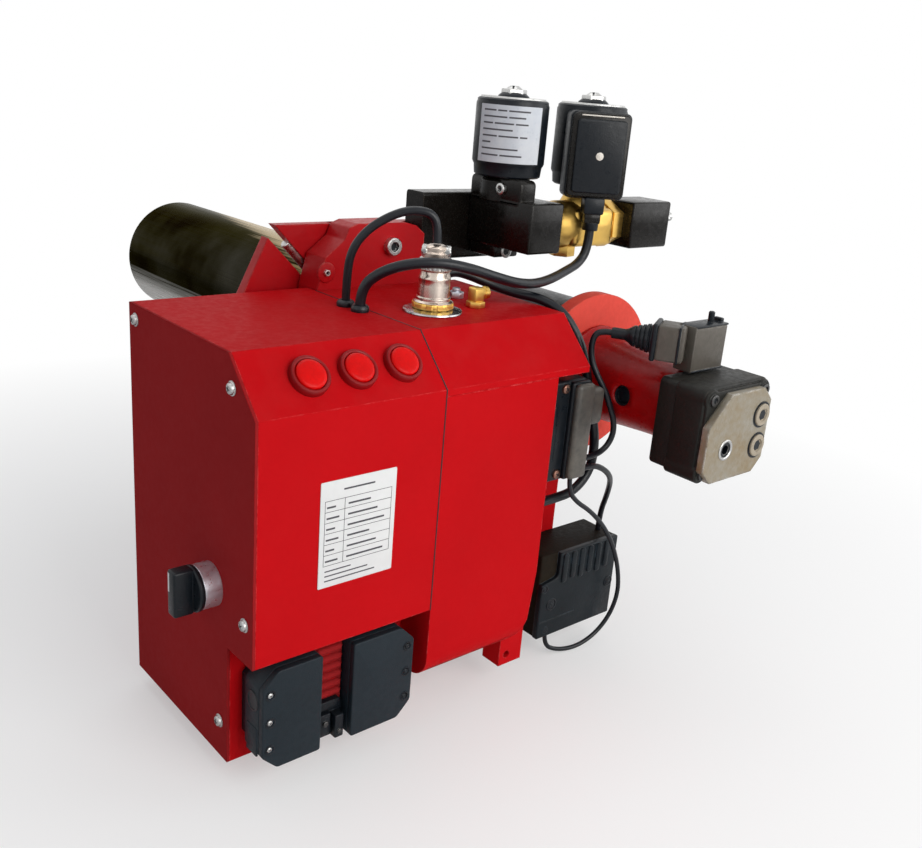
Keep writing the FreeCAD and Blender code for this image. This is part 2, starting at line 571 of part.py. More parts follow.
def head_cover():
    right = f"{HOUSING_RIGHT} + cover_overhang"
    floor = "housing_top + cover_floor"
    outer = [("front_face", "housing_top"), ("front_face", f"{CABINET_TOP} - chamfer_drop"),
             ("front_face + chamfer_run", CABINET_TOP), (HOUSING_BACK, CABINET_TOP),
             (HOUSING_BACK, "housing_top")]
    inner = [("front_face + cover_wall", floor),
             ("front_face + cover_wall", f"{CABINET_TOP} - chamfer_drop - cover_wall * 0.4"),
             ("front_face + chamfer_run + cover_wall * 0.4", f"{CABINET_TOP} - cover_wall"),
             (f"{HOUSING_BACK} - cover_wall", f"{CABINET_TOP} - cover_wall"),
             (f"{HOUSING_BACK} - cover_wall", floor)]
    body = pad(shell_body("head_cover_body"), "YZ", outer, CABINET_RIGHT, right)
    pocket(body, "YZ", inner, f"{CABINET_RIGHT} + cover_wall", f"{right} - cover_wall")
    opening = box((f"{CABINET_RIGHT} + housing_wall", f"{HOUSING_RIGHT} - housing_wall"),
                  ("front_face + housing_wall", f"{HOUSING_BACK} - housing_wall"),
                  ("housing_top - 1", f"{floor} + 1"))
    outlet = rod(("0", f"{HOUSING_BACK} - 2 * cover_wall", "housing_top"), "Y", "collar_bore",
                 "4 * cover_wall")
    node(cut(body, opening, outlet), "head_cover")


def collar():
    points = [("collar_left", "collar_foot"), ("collar_right", "collar_foot"),
              ("collar_right", "collar_port_top"),
              ("collar_peak_right + collar_peak_run", "collar_top - collar_peak_drop"),
              ("collar_peak_right", "collar_top"), ("collar_peak_left", "collar_top"),
              ("collar_peak_left - collar_peak_lead", "collar_top - collar_peak_drop"),
              ("collar_step_side", "collar_step_top"),
              ("collar_shoulder_side", "collar_shoulder_top"), ("collar_left", CABINET_TOP)]
    casting = pad(shell_body("collar_casting"), "XZ", points, HOUSING_BACK, COLLAR_BACK)
    rounded(casting, "collar_round * 0.5", lambda edge: along("Y")(edge)
            and edge.BoundBox.ZMin > size("collar_step_top") - 0.01
            and edge.BoundBox.XMin < size("collar_peak_right") + 13)
    ring = rod(("0", f"{COLLAR_BACK} - collar_ring_thick", "0"), "Y",
               "tube_radius + collar_ring_wall", "collar_ring_thick")
    bore = rod(("0", HOUSING_BACK, "housing_top"), "Y", "collar_bore", "collar_thick")
    seat = rod(("0", f"{COLLAR_BACK} - tube_seat", "0"), "Y", "tube_radius + seat_gap", "tube_seat")
    across = rod(("0", GAS_LINE, "gas_port_level"), "X", "gas_port", "collar_right")
    down = rod(("0", GAS_LINE, "0"), "Z", "gas_port", "gas_port_level")
    stub_seat = rod(("0", GAS_LINE, "0"), "Z", "gas_stub + seat_gap", "collar_bore + stub_seat")
    node(cut(fuse(casting, ring), bore, seat, across, down, stub_seat), "rear_collar")


def slit_corner(reach, side):
    """A corner of the clamping slit, which runs at 45 degrees to the flange's corner."""
    return (f"(-({reach}) + {side} * slit_width * 0.5) / sqrt(2)",
            f"(({reach}) + {side} * slit_width * 0.5) / sqrt(2)")


def flange():
    points = [("flange_top_half", "flange_half_height"), ("-flange_top_half", "flange_half_height"),
              ("-flange_side_half", "0"), ("-flange_top_half", "-flange_half_height"),
              ("flange_top_half", "-flange_half_height"), ("flange_side_half", "0")]
    plate = pad(shell_body("flange_plate"), "XZ", points, "-flange_thick", "0")
    pocket(plate, "XZ", [("0", "0", "tube_radius + fit_gap")], "-flange_thick", "0")
    slit = [slit_corner(reach, side) for reach, side in
            (("tube_radius - slit_lap", -1), ("tube_radius - slit_lap", 1),
             ("flange_side_half + slit_over", 1), ("flange_side_half + slit_over", -1))]
    pocket(plate, "XZ", slit, "-flange_thick", "0")
    spots = [(f"{x} * bolt_span_x * 0.5", f"{z} * bolt_span_z * 0.5", "bolt_hole")
             for x in (-1, 1) for z in (-1, 1)]
    pocket(plate, "XZ", spots, "-flange_thick", "0")
    along_bolt = FreeCAD.Vector(1, 0, 1)

    def bolt_spot(distance):
        return (f"(({distance}) - clamp_offset) / sqrt(2)", "-flange_thick * 0.5",
                f"(({distance}) + clamp_offset) / sqrt(2)")

    hole = rod(bolt_spot("-clamp_length * 0.5 - seat_gap"), along_bolt, "clamp_radius + seat_gap",
               "clamp_length + seat_gap")
    access = rod(bolt_spot("clamp_length * 0.5"), along_bolt, "clamp_head + seat_gap", "clamp_length * 2")
    node(cut(plate, hole, access), "boiler_flange")
    shank = rod(bolt_spot("-clamp_length * 0.5"), along_bolt, "clamp_radius", "clamp_length")
    head = rod(bolt_spot("clamp_length * 0.5"), along_bolt, "clamp_head", "clamp_radius * 2")
    fasteners.append(fuse(shank, head))


def tube():
    start = f"{COLLAR_BACK} - tube_seat"
    profile = [("tube_radius - tube_wall", "0"), ("tube_radius", "0"),
               ("tube_radius", f"tube_reach - ({start})"),
               ("tube_radius - tube_wall", f"tube_reach - ({start})")]
    node(turned("blast_tube_body", profile, ("0", start, "0"), "Y"), "blast_tube")


def combustion_head():
    start = f"{HOUSING_BACK} + 2"
    pipe = [("lance_radius + seat_gap", "0"), ("gas_pipe", "0"), ("gas_pipe", f"gas_pipe_end - ({start})"),
            ("head_radius", f"gas_pipe_end - ({start})"),
            ("head_radius", f"gas_pipe_end - ({start}) + head_thick"),
            ("lance_radius + seat_gap", f"gas_pipe_end - ({start}) + head_thick"),
            ("lance_radius + seat_gap", f"gas_pipe_end - ({start}) + head_thick * 0.5"),
            ("gas_pipe - gas_pipe_wall", f"gas_pipe_end - ({start}) + head_thick * 0.5"),
            ("gas_pipe - gas_pipe_wall", "gas_pipe_wall"), ("lance_radius + seat_gap", "gas_pipe_wall")]
    parts = [turned("gas_pipe_body", pipe, ("0", start, "0"), "Y"),
             rod(("0", GAS_LINE, "gas_pipe - gas_pipe_wall * 0.5"), "Z", "gas_stub",
                 "collar_bore + stub_seat + housing_top - gas_pipe")]
    front = "gas_pipe_end + head_thick"
    for turn in range(int(SIZES["spud_count"])):
        angle = 360 * (turn + 0.5) / SIZES["spud_count"]
        parts.append(cone((f"spud_circle * cos({angle} deg)", front, f"spud_circle * sin({angle} deg)"), "Y",
                          "spud_radius", "spud_radius * 0.6", "spud_reach"))
    bores = [rod(("0", GAS_LINE, "gas_pipe - 2 * gas_pipe_wall"), "Z", "gas_port", "collar_bore")]
    node(cut(fuse(*parts), *bores), "gas_head")

    lance = [("lance_radius - lance_wall", "0"), ("lance_radius", "0"),
             ("lance_radius", "lance_end - lance_start"),
             ("lance_radius - lance_wall", "lance_end - lance_start")]
    node(turned("lance_body", lance, ("0", "lance_start", "0"), "Y"), "oil_lance")
    nozzle = [("0", "0"), ("nozzle_radius", "0"), ("nozzle_radius", "nozzle_length * 0.7"),
              ("nozzle_radius * 0.4", "nozzle_length"), ("0", "nozzle_length")]
    node(turned("nozzle_body", nozzle, ("0", "lance_end", "0"), "Y"), "oil_nozzle")
    node(group(*[rod((f"{side} * rod_offset * 0.5", front, "rod_offset * 0.8"), "Y", "rod_radius",
                     f"rod_end - ({front})") for side in (-1, 1)]), "electrodes")
    node(made("diffuser", diffuser_shape()), "diffuser_disc")


def diffuser_shape():
    """A flame disc with a twisted vane standing at each radial slot."""
    level = size("lance_end") + size("disc_seat")
    centre = FreeCAD.Vector(0, level, 0)
    disc = Part.makeCylinder(size("disc_radius"), size("disc_thick"), centre, DIRECTIONS["Y"])
    disc = disc.cut(Part.makeCylinder(size("nozzle_radius"), size("disc_thick"), centre, DIRECTIONS["Y"]))
    length = size("vane_outer") - size("vane_inner")
    for turn in range(int(size("vane_count"))):
        angle = 360 * turn / size("vane_count")
        slot = Part.makeBox(length, size("disc_thick") * 2, size("vane_width"),
                            FreeCAD.Vector(size("vane_inner"), level - size("disc_thick") / 2, 0))
        vane = Part.makeBox(length, size("vane_thick"), size("vane_width"),
                            FreeCAD.Vector(size("vane_inner"), level + size("disc_thick") / 2, 0))
        vane.rotate(FreeCAD.Vector(0, level + size("disc_thick") / 2, 0), DIRECTIONS["X"], size("vane_tilt"))
        for shape in (slot, vane):
            shape.rotate(FreeCAD.Vector(0, 0, 0), DIRECTIONS["Y"], angle)
        disc = disc.cut(slot).fuse(vane)
    return disc.removeSplitter()


def intake():
    left, right = HOUSING_RIGHT, f"({HOUSING_RIGHT} + duct_width)"
    neck, drop = f"({HOUSING_RIGHT} + duct_neck)", "duct_top - duct_slope"
    outer = [(left, "duct_base"), (right, "duct_base"), (right, drop), (neck, "duct_top"), (left, "duct_top")]
    wall = "duct_wall"
    inner = [(f"{left} + {wall}", "duct_base"), (f"{right} - {wall}", "duct_base"),
             (f"{right} - {wall}", f"{drop} - {wall} * 0.5"),
             (f"{neck} - {wall} * 0.5", f"duct_top - {wall}"),
             (f"{left} + {wall}", f"duct_top - {wall}")]
    body = pad(shell_body("duct_body"), "XZ", outer, DUCT_FRONT, f"{DUCT_FRONT} + duct_depth")
    pocket(body, "XZ", inner, f"{DUCT_FRONT} + {wall}", f"{DUCT_FRONT} + duct_depth - {wall}")
    eye = rod((f"{left} - 1", FAN_BACK, "fan_level"), "X", "eye_radius", f"{wall} + 2")
    middle = f"({HOUSING_RIGHT} + duct_width * 0.5)"
    pivot = rod((middle, DUCT_FRONT, "damper_level"), "Y", "damper_shaft + fit_gap", "duct_depth")
    node(cut(body, eye, pivot), "intake_duct")
    half = "(duct_width * 0.5 - duct_wall - damper_gap)"
    blade = box((f"{middle} - {half}", f"{middle} + {half}"),
                (f"{DUCT_FRONT} + duct_wall + damper_gap",
                 f"{DUCT_FRONT} + duct_depth - duct_wall - damper_gap"),
                ("damper_level - damper_thick * 0.5", "damper_level + damper_thick * 0.5"))
    shaft = rod((middle, f"{DUCT_FRONT} - servo_bore + body_gap", "damper_level"), "Y", "damper_shaft",
                "duct_depth + servo_bore - body_gap")
    node(fuse(blade, shaft), "air_damper")

    top, side = "servo_base + servo_height", "servo_left + servo_width"
    points = [("servo_left + servo_notch * 0.4", "servo_base"), (side, "servo_base"), (side, top),
              ("servo_left + servo_notch", top), ("servo_left + servo_notch", f"{top} - servo_notch"),
              ("servo_left", f"{top} - servo_notch"), ("servo_left", "servo_base + servo_notch"),
              ("servo_left + servo_notch * 0.4", "servo_base + servo_notch")]
    servo = pad(shell_body("servo_case"), "XZ", points, f"{DUCT_FRONT} - servo_depth", DUCT_FRONT)
    rounded(servo, "servo_round", lambda edge: along("Y")(edge)
            and edge.BoundBox.XMin > size("servo_left") + size("servo_notch") + 1)
    bore = rod((middle, f"{DUCT_FRONT} - servo_bore", "damper_level"), "Y", "damper_shaft + fit_gap",
               "servo_bore")
    node(cut(servo, bore), "servo_body")


def pump_unit():
    disc = rod(("pump_side", "disc_front", "pump_level"), "Y", "disc_plate", "disc_plate_thick")
    web = box((HOUSING_RIGHT, "pump_side - disc_plate * 0.7"),
              ("disc_front", "disc_front + disc_plate_thick"),
              ("housing_top - 1 - web_drop", "housing_top - 1"))
    hole = rod(("pump_side", "disc_front", "pump_level"), "Y", "motor_nose + seat_gap", "disc_plate_thick")
    node(cut(fuse(disc, web), hole), "pump_bracket")

    length = "(disc_front - bell_front)"
    profile = [("coupling_radius + 2", "0"), ("bell_small", "0"), ("bell_large", f"{length} - bell_foot"),
               ("bell_large + bell_foot", f"{length} - bell_foot"), ("bell_large + bell_foot", length),
               ("bell_large - bell_wall", length), ("bell_small - bell_wall", "bell_foot"),
               ("coupling_radius + 2", "bell_foot")]
    bell = turned("bell_casting", profile, ("pump_side", "bell_front", "pump_level"), "Y")
    middle = f"bell_front + {length} * 0.4"
    holes = [rod(("pump_side - bell_large - 1", f"{middle} + {shift} * bell_window * 0.5", "pump_level"),
                 "X", "bell_window", "bell_large * 0.6") for shift in (-1, 1)]
    node(cut(bell, *holes), "bell_adapter")

    case = [("pump_shaft_radius + fit_gap", "0"), ("motor_nose", "0"), ("motor_nose", "disc_plate_thick"),
            ("motor_case - motor_edge", "disc_plate_thick"),
            ("motor_case", "disc_plate_thick + motor_edge"),
            ("motor_case", "motor_case_length - motor_end"),
            ("motor_case - motor_end", "motor_case_length"),
            ("0", "motor_case_length"), ("0", "motor_case_length * 0.5"),
            ("pump_shaft_radius + fit_gap", "motor_case_length * 0.5")]
    node(turned("motor_body", case, ("pump_side", "disc_front", "pump_level"), "Y"), "pump_motor")

    front = "(bell_front - pump_depth)"
    corners = [("pump_side - pump_half_width", "pump_level - pump_drop"),
               ("pump_side + pump_half_width", "pump_level - pump_drop"),
               ("pump_side + pump_half_width", "pump_level + pump_rise"),
               ("pump_side - pump_half_width", "pump_level + pump_rise")]
    body = pad(shell_body("pump_casting"), "XZ", corners, front, "bell_front")
    rounded(body, "pump_round", along("Y"))
    pocket(body, "XZ", [("pump_side", "pump_level", "pump_shaft_radius + fit_gap")],
           "bell_front - pump_depth * 0.8", "bell_front")
    node(body, "pump_body")

    left, right = "pump_side - pump_half_width", "pump_side + lid_right"
    low, high = "pump_level - pump_drop", "pump_level + lid_rise"
    lid = pad(shell_body("pump_lid"), "XZ", [
        (f"{left} + lid_clip", low), (f"{right} - lid_clip", low), (right, f"{low} + lid_clip"),
        (right, f"{high} - lid_clip"), (f"{right} - lid_clip", high), (f"{left} + lid_corner", high),
        (left, f"{high} - lid_corner"), (left, f"{low} + lid_clip")], PUMP_FRONT, front)
    port = rod(("pump_side - port_side", PUMP_FRONT, "pump_level - port_low"), "Y", "port_radius",
               "cover_thick")
    node(cut(lid, port), "pump_cover")
    plugs = []
    for level in ("pump_level + plug_high", "pump_level - plug_low"):
        ring = rod(("pump_side + plug_side", PUMP_FRONT, level), FreeCAD.Vector(0, -1, 0), "plug_ring",
                   "plug_rise")
        socket = prism(("pump_side + plug_side", f"{PUMP_FRONT} - plug_rise", level), "Y", 6,
                       "plug_ring * 0.45", "plug_rise * 0.8")
        plugs.append(cut(ring, socket))
    fasteners.extend(plugs)

    shaft = rod(("pump_side", "bell_front - pump_depth * 0.7", "pump_level"), "Y", "pump_shaft_radius",
                f"{length} + pump_depth * 0.7 + motor_case_length * 0.4")
    node(shaft, "pump_shaft")
    sleeve = rod(("pump_side", f"bell_front + {length} * 0.25", "pump_level"), "Y", "coupling_radius",
                 "coupling_length")
    bore = rod(("pump_side", f"bell_front + {length} * 0.25", "pump_level"), "Y", "pump_shaft_radius",
               "coupling_length")
    node(cut(sleeve, bore), "shaft_coupling")


def pump_valve():
    base = "pump_level + pump_rise"
    left, right = "valve_side - valve_width * 0.5", "valve_side + valve_width * 0.5"
    front, back = "valve_back - valve_depth * 0.5", "valve_back + valve_depth * 0.5"
    coil_box = box((left, right), (front, back), (base, f"{base} + valve_height"))
    nub = rod(("nub_side", "valve_back", f"{base} + valve_height"), "Z", "nub_radius", "nub_rise")
    node(fuse(coil_box, nub), "pump_valve_coil")
    angle = math.radians(SIZES["relief_turn"])
    way = FreeCAD.Vector(math.cos(angle), math.sin(angle), 0)
    level = f"{base} + valve_height - din_drop"
    plug = doc.addObject("Part::Box", "plug")
    for prop, formula in (("Length", "2 * din_length"), ("Width", "din_width"), ("Height", "din_height")):
        bind(plug, prop, formula)
    turn = "(relief_turn * 1 deg)"
    place(plug, (f"{left} - din_length * cos{turn} + din_width * 0.5 * sin{turn}",
                 f"valve_back - din_length * sin{turn} - din_width * 0.5 * cos{turn}",
                 f"{level} - din_height * 0.5"),
          FreeCAD.Rotation(DIRECTIONS["Z"], SIZES["relief_turn"]))
    relief = cone((f"{left} + din_length * cos{turn}", f"valve_back + din_length * sin{turn}", level), way,
                  "relief_wide", "relief_narrow", "relief_length")
    clearance = box((left, f"{right} + 2 * din_length"),
                    (f"{front} - 2 * din_length", f"{back} + 2 * din_length"),
                    (base, f"{base} + 2 * valve_height"))
    behind = box((f"{left} - 2 * din_length", left), (f"{front} - 2 * din_length", front),
                 (base, f"{base} + 2 * valve_height"))
    node(cut(fuse(plug, relief), clearance, behind), "pump_valve_plug")


def core_bore(side, back, bottom, top):
    return rod((side, back, bottom), "Z", "core_bore", f"({top}) - ({bottom})")


def gas_train():
    port = "gas_port_level"
    block_right = "block_left + block_width"
    elbow = shell_body("elbow_body")
    pad(elbow, "XZ", [("collar_right", "elbow_base"), (block_right, "elbow_base"),
                      (block_right, TRAIN_TOP), ("collar_right", TRAIN_TOP)],
        f"{COLLAR_BACK} - train_depth", COLLAR_BACK)
    rounded(elbow, "train_round", along("X"))
    bores = [rod(("collar_right - 1", GAS_LINE, port), "X", "gas_port", "safety_side - collar_right"),
             rod(("safety_side", f"{COLLAR_BACK} - train_depth", "gas_bore_level"), "Y", "gas_port",
                 "train_depth * 0.6"),
             rod(("safety_side - gas_port", GAS_LINE, port), "Z", "gas_port",
                 "gas_bore_level - gas_port_level")]
    node(cut(elbow, *bores), "gas_elbow")

    front, back = f"{COLLAR_BACK} - train_depth - block_depth", f"{COLLAR_BACK} - train_depth"
    section = [("block_left", "train_base"), (block_right, "train_base"), (block_right, TRAIN_TOP),
               ("block_left", TRAIN_TOP)]
    block = pad(shell_body("block_body"), "XZ", section, front, back)
    rounded(block, "train_round", along("Y"))
    boss = rod(("safety_side", SAFETY_BACK, f"{TRAIN_TOP} - train_round"), "Z", "boss_radius",
               "boss_rise + train_round")
    boss_limit = box(("block_left", block_right), (front, back), ("train_base", f"{TRAIN_TOP} + boss_rise"))
    boss_cut = doc.addObject("Part::Common", "boss")
    boss_cut.Base, boss_cut.Tool = boss, boss_limit
    coil_base = f"{TRAIN_TOP} + boss_rise"
    core = rod(("safety_side", SAFETY_BACK, TRAIN_TOP), "Z", "core_radius",
               "boss_rise + safety_height + core_top")
    bores = [core_bore("safety_side", SAFETY_BACK, f"{TRAIN_TOP} + core_floor",
                       f"{coil_base} + safety_height + core_top - core_roof"),
             rod(("safety_side", f"{SAFETY_BACK} - bore_lead", "gas_bore_level"), "Y", "gas_port",
                 "block_depth"),
             rod(("safety_side", MAIN_BACK, "gas_bore_level"), "X", "gas_port", "block_width")]
    lug = box(("block_left", "safety_side"), (f"{back} - lug_reach", back),
              (f"{TRAIN_TOP} - train_round", coil_base))
    stub = box(("block_left + train_round", "block_left + train_round + stub_width"),
               (f"{back} - stub_reach", back), ("train_base - stub_drop", "train_base + train_round"))
    node(cut(fuse(block, boss_cut, core, lug, stub), *bores), "valve_block")
    fasteners.append(rod(("block_left", f"{COLLAR_BACK} - lug_screw_in", f"{TRAIN_TOP} + lug_screw_level"),
                         FreeCAD.Vector(-1, 0, 0), "lug_screw", "screw_rise"))
    node(coil("safety_coil", "safety_side", SAFETY_BACK, coil_base, "safety_height"), "safety_coil")

    right = f"{block_right} + brass_width"
    brass = pad(shell_body("brass_casting"), "XZ",
                [(block_right, "train_base"), (right, "train_base"), (right, TRAIN_TOP),
                 (block_right, TRAIN_TOP)],
                f"{MAIN_BACK} - brass_half_depth", f"{MAIN_BACK} + brass_half_depth")
    rounded(brass, "train_height * 0.25",
            lambda edge: along("Y")(edge) and edge.BoundBox.XMin > size("safety_side"))
    neck = rod(("main_side", MAIN_BACK, TRAIN_TOP), "Z", "neck_radius", "main_lift")
    core = rod(("main_side", MAIN_BACK, TRAIN_TOP), "Z", "core_radius", "main_lift + main_height + core_top")
    hexagon = prism(("main_side - hex_lead", MAIN_BACK, "train_base - hex_height"), "Z", 6, "hex_radius",
                    "hex_height + 2")
    bores = [core_bore("main_side", MAIN_BACK, f"{TRAIN_TOP} + core_floor",
                       f"{TRAIN_TOP} + main_lift + main_height + core_top - core_roof"),
             rod((block_right, MAIN_BACK, "gas_bore_level"), "X", "gas_port", "brass_width")]
    node(cut(fuse(brass, neck, core, hexagon), *bores), "brass_valve_body")
    base = f"{TRAIN_TOP} + main_lift"
    node(coil("main_coil", "main_side", MAIN_BACK, base, "main_height"), "main_coil")
    nuts = []
    for side, back, top in (("safety_side", SAFETY_BACK, f"{coil_base} + safety_height"),
                            ("main_side", MAIN_BACK, f"{base} + main_height")):
        washer = rod((side, back, top), "Z", "washer_radius", "washer_thick")
        nut = prism((side, back, f"{top} + washer_thick"), "Z", 6, "nut_radius", "nut_thick")
        nuts.append(cut(fuse(washer, nut), rod((side, back, top), "Z", "core_radius + seat_gap",
                                               "washer_thick + nut_thick")))
    node(group(*nuts), "coil_nuts")
    low = f"{TRAIN_TOP} + core_floor + body_gap"
    for label, side, back in (("safety_plunger", "safety_side", SAFETY_BACK),
                              ("main_plunger", "main_side", MAIN_BACK)):
        node(rod((side, back, low), "Z", "core_bore - fit_gap", "plunger_length"), label)

    terminal = doc.addObject("Part::Box", "terminals")
    for prop, formula in (("Length", "cover_width"), ("Width", "cover_far - cover_near"),
                          ("Height", "cover_height")):
        bind(terminal, prop, formula)
    turn = "(cover_turn * 1 deg)"
    place(terminal, (f"main_side - cover_far * sin{turn} - cover_width * 0.5 * cos{turn}",
                     f"{MAIN_BACK} - cover_far * cos{turn} + cover_width * 0.5 * sin{turn}",
                     f"{base} - cover_drop"),
          FreeCAD.Rotation(DIRECTIONS["Z"], -SIZES["cover_turn"]))
    space = rod(("main_side", MAIN_BACK, f"{base} - 2 * cover_drop"), "Z", "coil_radius", "2 * main_height")
    gland = cone(("gland_side", f"{COLLAR_BACK} - gland_in", f"{base} - cover_drop - gland_length"), "Z",
                 "gland_radius * 0.8", "gland_radius", "gland_length")
    node(cut(fuse(terminal, gland), space), "main_coil_cover")

    left = right
    inlet_right = f"{left} + inlet_width"
    block = pad(shell_body("inlet_body"), "XZ",
                [(left, "train_base"), (inlet_right, "train_base"), (inlet_right, TRAIN_TOP),
                 (left, TRAIN_TOP)],
                f"{INLET_BACK} - inlet_half_depth", f"{INLET_BACK} + inlet_half_depth")
    rounded(block, "train_round", along("X"))
    nipple = rod((inlet_right, INLET_BACK, "nipple_level"), "X", "nipple_radius", "nipple_length")
    bore = rod((f"{inlet_right} + nipple_length - nipple_depth", INLET_BACK, "nipple_level"), "X",
               "nipple_bore", "nipple_depth")
    line = rod((left, INLET_BACK, "nipple_level"), "X", "gas_port", "inlet_width")
    node(cut(fuse(block, nipple), bore, line), "inlet_block")


def coil(label, side, back, base, height):
    profile = [("core_radius + seat_gap", "0"), ("coil_radius - 2", "0"), ("coil_radius", "2"),
               ("coil_radius", f"{height} - coil_edge"), ("coil_radius - coil_edge", height),
               ("core_radius + seat_gap", height)]
    return turned(label + "_body", profile, (side, back, base), "Z")


def fittings():
    spot = ("connector_side", "connector_back", CABINET_TOP)
    top = "connector_plate + brass_rise"
    base = [("0", "0"), ("connector_flange", "0"), ("connector_flange", "connector_plate - 1"),
            ("connector_flange - 1", "connector_plate"), ("barrel_radius", "connector_plate"),
            ("barrel_radius", f"{top} + barrel_rise * 0.4"),
            ("barrel_radius - groove_depth", f"{top} + barrel_rise * 0.4"),
            ("barrel_radius - groove_depth", f"{top} + barrel_rise * 0.4 + 2"),
            ("barrel_radius", f"{top} + barrel_rise * 0.4 + 2"), ("barrel_radius", f"{top} + barrel_rise"),
            ("clamp_ring", f"{top} + barrel_rise"), ("clamp_ring", f"{top} + barrel_rise + clamp_rise"),
            ("0", f"{top} + barrel_rise + clamp_rise")]
    node(turned("connector_body", base, spot, "Z"), "cable_connector")
    ring = [("barrel_radius", "connector_plate"), ("connector_brass", "connector_plate"),
            ("connector_brass", top), ("barrel_radius", top)]
    node(turned("connector_ring_body", ring, spot, "Z"), "connector_ring")
    spot = ("oil_side", "oil_back", CABINET_TOP)
    inlet = [("0", "0"), ("oil_radius + 2", "0"), ("oil_radius + 2", "oil_rise * 0.4"),
             ("oil_radius", "oil_rise * 0.4"), ("oil_radius", "oil_rise"), ("oil_bore", "oil_rise"),
             ("oil_bore", "oil_rise - oil_depth"), ("0", "oil_rise - oil_depth")]
    node(turned("oil_inlet_body", inlet, spot, "Z"), "oil_inlet_fitting")
    grommets = []
    for side, back in (("grommet_side", "grommet_back"), ("grommet_side", "grommet_back - grommet_step"),
                       ("small_gland_side", "small_gland_back")):
        profile = [("0", "0"), ("grommet_radius", "0"), ("grommet_radius", "grommet_rise * 0.6"),
                   ("grommet_radius - 2", "grommet_rise"), ("0", "grommet_rise")]
        grommets.append(turned("grommet", profile, (side, back, CABINET_TOP), "Z"))
    node(group(*grommets), "cable_grommets")
    fasteners.append(prism(("small_gland_side + cap_side", "small_gland_back - cap_back", CABINET_TOP),
                           "Z", 6,
                           "grommet_radius", "grommet_rise"))


def terminal_box():
    right, top = f"{HOUSING_RIGHT} + box_flange_width", "box_base + box_height"
    flange = box((HOUSING_RIGHT, right), ("box_front", "box_front + box_plate"), ("box_base", top))
    body = box((HOUSING_RIGHT, f"{right} - box_side_in"), ("box_front + box_plate", "box_front + box_depth"),
               ("box_base + box_end_in", f"{top} - box_end_in"))
    raised = box((f"{HOUSING_RIGHT} + box_inset", right), ("box_front - box_rise", "box_front"),
                 ("box_base + box_lid_in", f"{top} - box_lid_in"))
    lobe = box((right, f"{right} + lobe_width"),
               ("box_front - box_rise + 2", "box_front - box_rise + 2 + lobe_depth"),
               ("lobe_base", "lobe_base + lobe_height"))
    holes = [screw_hole(spot, "Y") for spot in BOX_SPOTS]
    node(cut(fuse(flange, body, raised, lobe), *holes), "terminal_box")


# Routes of the cords as corner points of straight runs, which tangent arcs join

CORD_ROUTES = {
    "connector_cord": ("connector_cord_radius", [
        (-66, -94, 43), (-66, -94, 62), (-65, -97, 82), (-56, -104, 98), (-42, -113, 109),
        (-30, -121, 114), (-18, -130, 113), (-13, -133, 104), (-13, -133, 91)]),
    "gas_valve_cord": ("gas_cord_radius", [
        (-66, -113, 43), (-66, -113, 57), (-56, -123, 70), (-41, -138, 78), (-23, -151, 80),
        (-1, -158, 76), (25, -159, 68), (55, -154, 60), (85, -144, 56), (115, -132, 56),
        (143, -121, 59), (165, -114, 63), (174, -114.5, 75), (174, -114.5, 92)]),
    "box_cord": ("box_cord_radius", [
        (22, -94, 43), (22, -94, 51), (26, -97, 58), (35, -101, 61), (46, -107, 58), (60, -115, 52),
        (76, -128, 46), (90, -144, 44), (99, -162, 37), (106, -176, 19), (111, -184, -3), (114, -188, -26),
        (120, -191, -49), (125, -193, -72), (122, -194, -96), (105, -194, -112), (83, -192, -115),
        (53, -192, -115)]),
    "pump_cord": ("pump_cord_radius", [
        (114, -204.77, 27), (110, -197.84, 27), (107, -193.2, 23), (106, -192, 13), (107, -194, 1),
        (110, -199, -10), (116, -205, -23), (120, -208, -35), (127, -208, -48), (129, -208, -60),
        (124, -207, -71), (112, -206, -77), (97, -206, -77)]),
    "servo_cord": ("servo_cord_radius", [
        (83, -207, -90), (83, -207, -102), (95, -207, -115), (112, -207, -126), (129, -207, -141),
        (145, -206, -159), (159, -204, -180), (170, -202, -203), (175, -201, -226), (171, -198, -249),
        (157, -195, -266), (136, -193, -273), (117, -188, -273), (102, -183, -266), (102, -183, -252)]),
    "servo_lead": ("servo_lead_radius", [
        (172, -170, -173), (172, -170, -156), (167, -179, -135), (156, -190, -116), (140, -201, -102),
        (124, -206, -91), (110, -207, -85), (97, -207, -85)]),
}


def cord(label, radius, route):
    """A round tube along straight runs and tangent arcs. Prints its radii and its volume."""
    points = [FreeCAD.Vector(*point) for point in route]
    edges, radii, start = [], [], points[0]
    for before, corner, after in zip(points, points[1:], points[2:]):
        back, ahead = before - corner, after - corner
        turn = math.pi - back.getAngle(ahead)
        trim = 0.45 * min(back.Length, ahead.Length)
        back, ahead = back.normalize(), ahead.normalize()
        bisector = (back + ahead).normalize()
        bend = trim / math.tan(turn / 2)
        radii.append(bend)
        centre_distance = math.hypot(trim, bend)
        first, last = corner + back * trim, corner + ahead * trim
        middle = corner + bisector * (centre_distance - bend)
        edges.append(Part.LineSegment(start, first).toShape())
        edges.append(Part.Arc(first, middle, last).toShape())
        start = last
    edges.append(Part.LineSegment(start, points[-1]).toShape())
    path = Part.Wire(edges)
    heading = points[1] - points[0]
    section = Part.Wire(Part.Circle(points[0], heading, size(radius)).toShape())
    tube_shape = path.makePipeShell([section], True, False)
    area = math.pi * size(radius) ** 2
    print(f"{label}: length {path.Length:.1f}, smallest radius {min(radii):.1f}, radii",
          [round(bend, 1) for bend in radii],
          f"volume ratio {tube_shape.Volume / (area * path.Length):.4f}")
    return node(made(label, tube_shape), label)


def cords():
    for label, (radius, route) in CORD_ROUTES.items():
        cord(label, radius, route)


